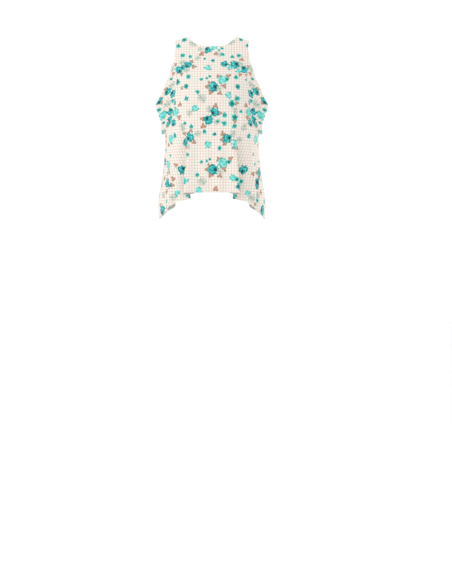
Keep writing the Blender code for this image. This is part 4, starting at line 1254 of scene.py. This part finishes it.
# The button: a pearly cream button on a shank, sewn to the left back beside the slit, turned
# with a raised rim round a shallow dish.
BUTTON_RADIUS, BUTTON_THICKNESS = 0.0048, 0.0022
SHANK_RADIUS, SHANK_LENGTH = 0.0014, 0.0026
BUTTON_OUT, BUTTON_HEIGHT = 0.0075, -0.0290
BUTTON_RIM, BUTTON_DISH, BUTTON_ROUNDING = 0.0011, 0.0005, 0.0005
SHANK_SUNK = 0.0002          # how far the shank's ends go into the cloth and the head
SOLID_WALL = 0.0012
PEARL, PEARL_SHADE = srgb(240, 234, 222), srgb(222, 218, 212)


def back_seat(out):
    """The outer face of the left back's solid beside the button: a point and its direction."""
    share, spot = np.array([share_at(out, BUTTON_HEIGHT, BACK)]), np.array([BUTTON_HEIGHT])
    point, normal = cloth_point(share, spot, BACK)[0], cloth_normal(share, spot, BACK)[0]
    return Vector(point + normal * SOLID_WALL / 2.0), Vector(normal)


seat, seat_normal = back_seat(BUTTON_OUT)


def seated(thing, rise):
    """Turns a thing that was made upright square to the cloth and lifts its middle off it."""
    thing.data.transform(seat_normal.to_track_quat("Z", "Y").to_matrix().to_4x4())
    thing.data.transform(Matrix.Translation(seat + seat_normal * rise))


bpy.ops.object.select_all(action="DESELECT")
bpy.ops.mesh.primitive_cylinder_add(vertices=48, radius=BUTTON_RADIUS, depth=BUTTON_THICKNESS)
button = bpy.context.object
bpy.ops.object.mode_set(mode="EDIT")
bpy.ops.mesh.select_mode(type="FACE")
bpy.ops.mesh.select_all(action="DESELECT")
bpy.ops.object.mode_set(mode="OBJECT")
top = max(button.data.polygons, key=lambda polygon: polygon.center.z)
top.select = True
bpy.ops.object.mode_set(mode="EDIT")
bpy.ops.mesh.inset(thickness=BUTTON_RIM, depth=0.0)
bpy.ops.mesh.inset(thickness=BUTTON_RIM, depth=-BUTTON_DISH)
bpy.ops.object.mode_set(mode="OBJECT")
rounding = button.modifiers.new("rounding", "BEVEL")
rounding.width = BUTTON_ROUNDING
rounding.segments = 4
rounding.limit_method = "ANGLE"
rounding.angle_limit = radians(20.0)
bpy.ops.object.modifier_apply(modifier="rounding")
seated(button, SEAM_GAP + SHANK_LENGTH + BUTTON_THICKNESS / 2.0)
bpy.ops.mesh.primitive_cylinder_add(vertices=24, radius=SHANK_RADIUS,
                                    depth=SHANK_LENGTH + 2.0 * SHANK_SUNK)
shank = bpy.context.object
seated(shank, SHANK_LENGTH / 2.0)
bpy.ops.object.select_all(action="DESELECT")
button.select_set(True)
shank.select_set(True)
bpy.context.view_layer.objects.active = button
bpy.ops.object.join()
button.name = "pearl_button"
button.data.shade_smooth()
button.data.set_sharp_from_angle(angle=radians(40.0))
pearl, pearl_shader = clouded("pearl", 0.28, (PEARL, PEARL_SHADE), 320.0, 2.0)
pearl_shader.inputs["Coat Weight"].default_value = 0.5
button.data.materials.clear()
button.data.materials.append(pearl)
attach(button, "root")
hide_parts("back_button")

# The loop: a narrow tube of the same crepe, turned right side out, sewn to the right back by
# both ends and passed round the button's shank.
LOOP_RADIUS = 0.0008
LOOP_FEET = 0.0035           # from the centre line out to its sewn ends
LOOP_SEAM = 0.10             # the part of its radius by which its seam is drawn in
LOOP_CUT = (0.0005, 0.0004)  # each station's and each side's place on the flat cloth
LOOP_ARM, LOOP_BEND, LOOP_SIDES = 14, 24, 12

across_loop = Vector((1.0, 0.0, 0.0))
across_loop = (across_loop - seat_normal * across_loop.dot(seat_normal)).normalized()
up_loop = seat_normal.cross(across_loop)
up_loop = up_loop if up_loop.z > 0.0 else -up_loop
bend = SHANK_RADIUS + LOOP_RADIUS + SEAM_GAP
centre = seat + seat_normal * (SEAM_GAP + SHANK_LENGTH / 2.0)
foot, foot_normal = back_seat(LOOP_FEET)
foot += foot_normal * LOOP_RADIUS
foot = Vector((-foot.x, foot.y, foot.z))
arm = [foot.lerp(centre, step / LOOP_ARM) for step in range(LOOP_ARM)]
route = [point + up_loop * bend for point in arm]
for step in range(LOOP_BEND + 1):
    angle = pi / 2.0 - pi * step / LOOP_BEND
    route.append(centre + across_loop * bend * cos(angle) + up_loop * bend * sin(angle))
route += [point - up_loop * bend for point in reversed(arm)]
route = np.array(route)
ahead = unit(np.gradient(route, axis=0))
aside = unit(np.cross(ahead, np.array(seat_normal)))
up = np.cross(aside, ahead)
angles = np.arange(LOOP_SIDES) * 2.0 * pi / LOOP_SIDES
ring = LOOP_RADIUS * (1.0 - LOOP_SEAM * (np.cos(angles) > 0.95))
loop_points = (route[:, None] + aside[:, None] * (ring * np.cos(angles))[:, None]
               + up[:, None] * (ring * np.sin(angles))[:, None])
index = np.arange(len(route) * LOOP_SIDES).reshape(-1, LOOP_SIDES)
wrapped = np.roll(index, -1, axis=1)
walls = np.stack((index[:-1], wrapped[:-1], wrapped[1:], index[1:]), axis=-1).reshape(-1, 4)
loop_mesh = bpy.data.meshes.new("turned_loop")
loop_mesh.from_pydata(loop_points.reshape(-1, 3).tolist(), [],
                      walls.tolist() + [index[0][::-1].tolist(), index[-1].tolist()])
loop_mesh.uv_layers.new(name="cut")
for corner in loop_mesh.loops:
    station, place = divmod(corner.vertex_index, LOOP_SIDES)
    loop_mesh.uv_layers["cut"].data[corner.index].uv = (LOOP_CUT[0] * station, LOOP_CUT[1] * place)
loop_mesh.shade_smooth()
loop_mesh.materials.append(right_side)
loop = placed("turned_loop", loop_mesh)
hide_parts("back_loop")
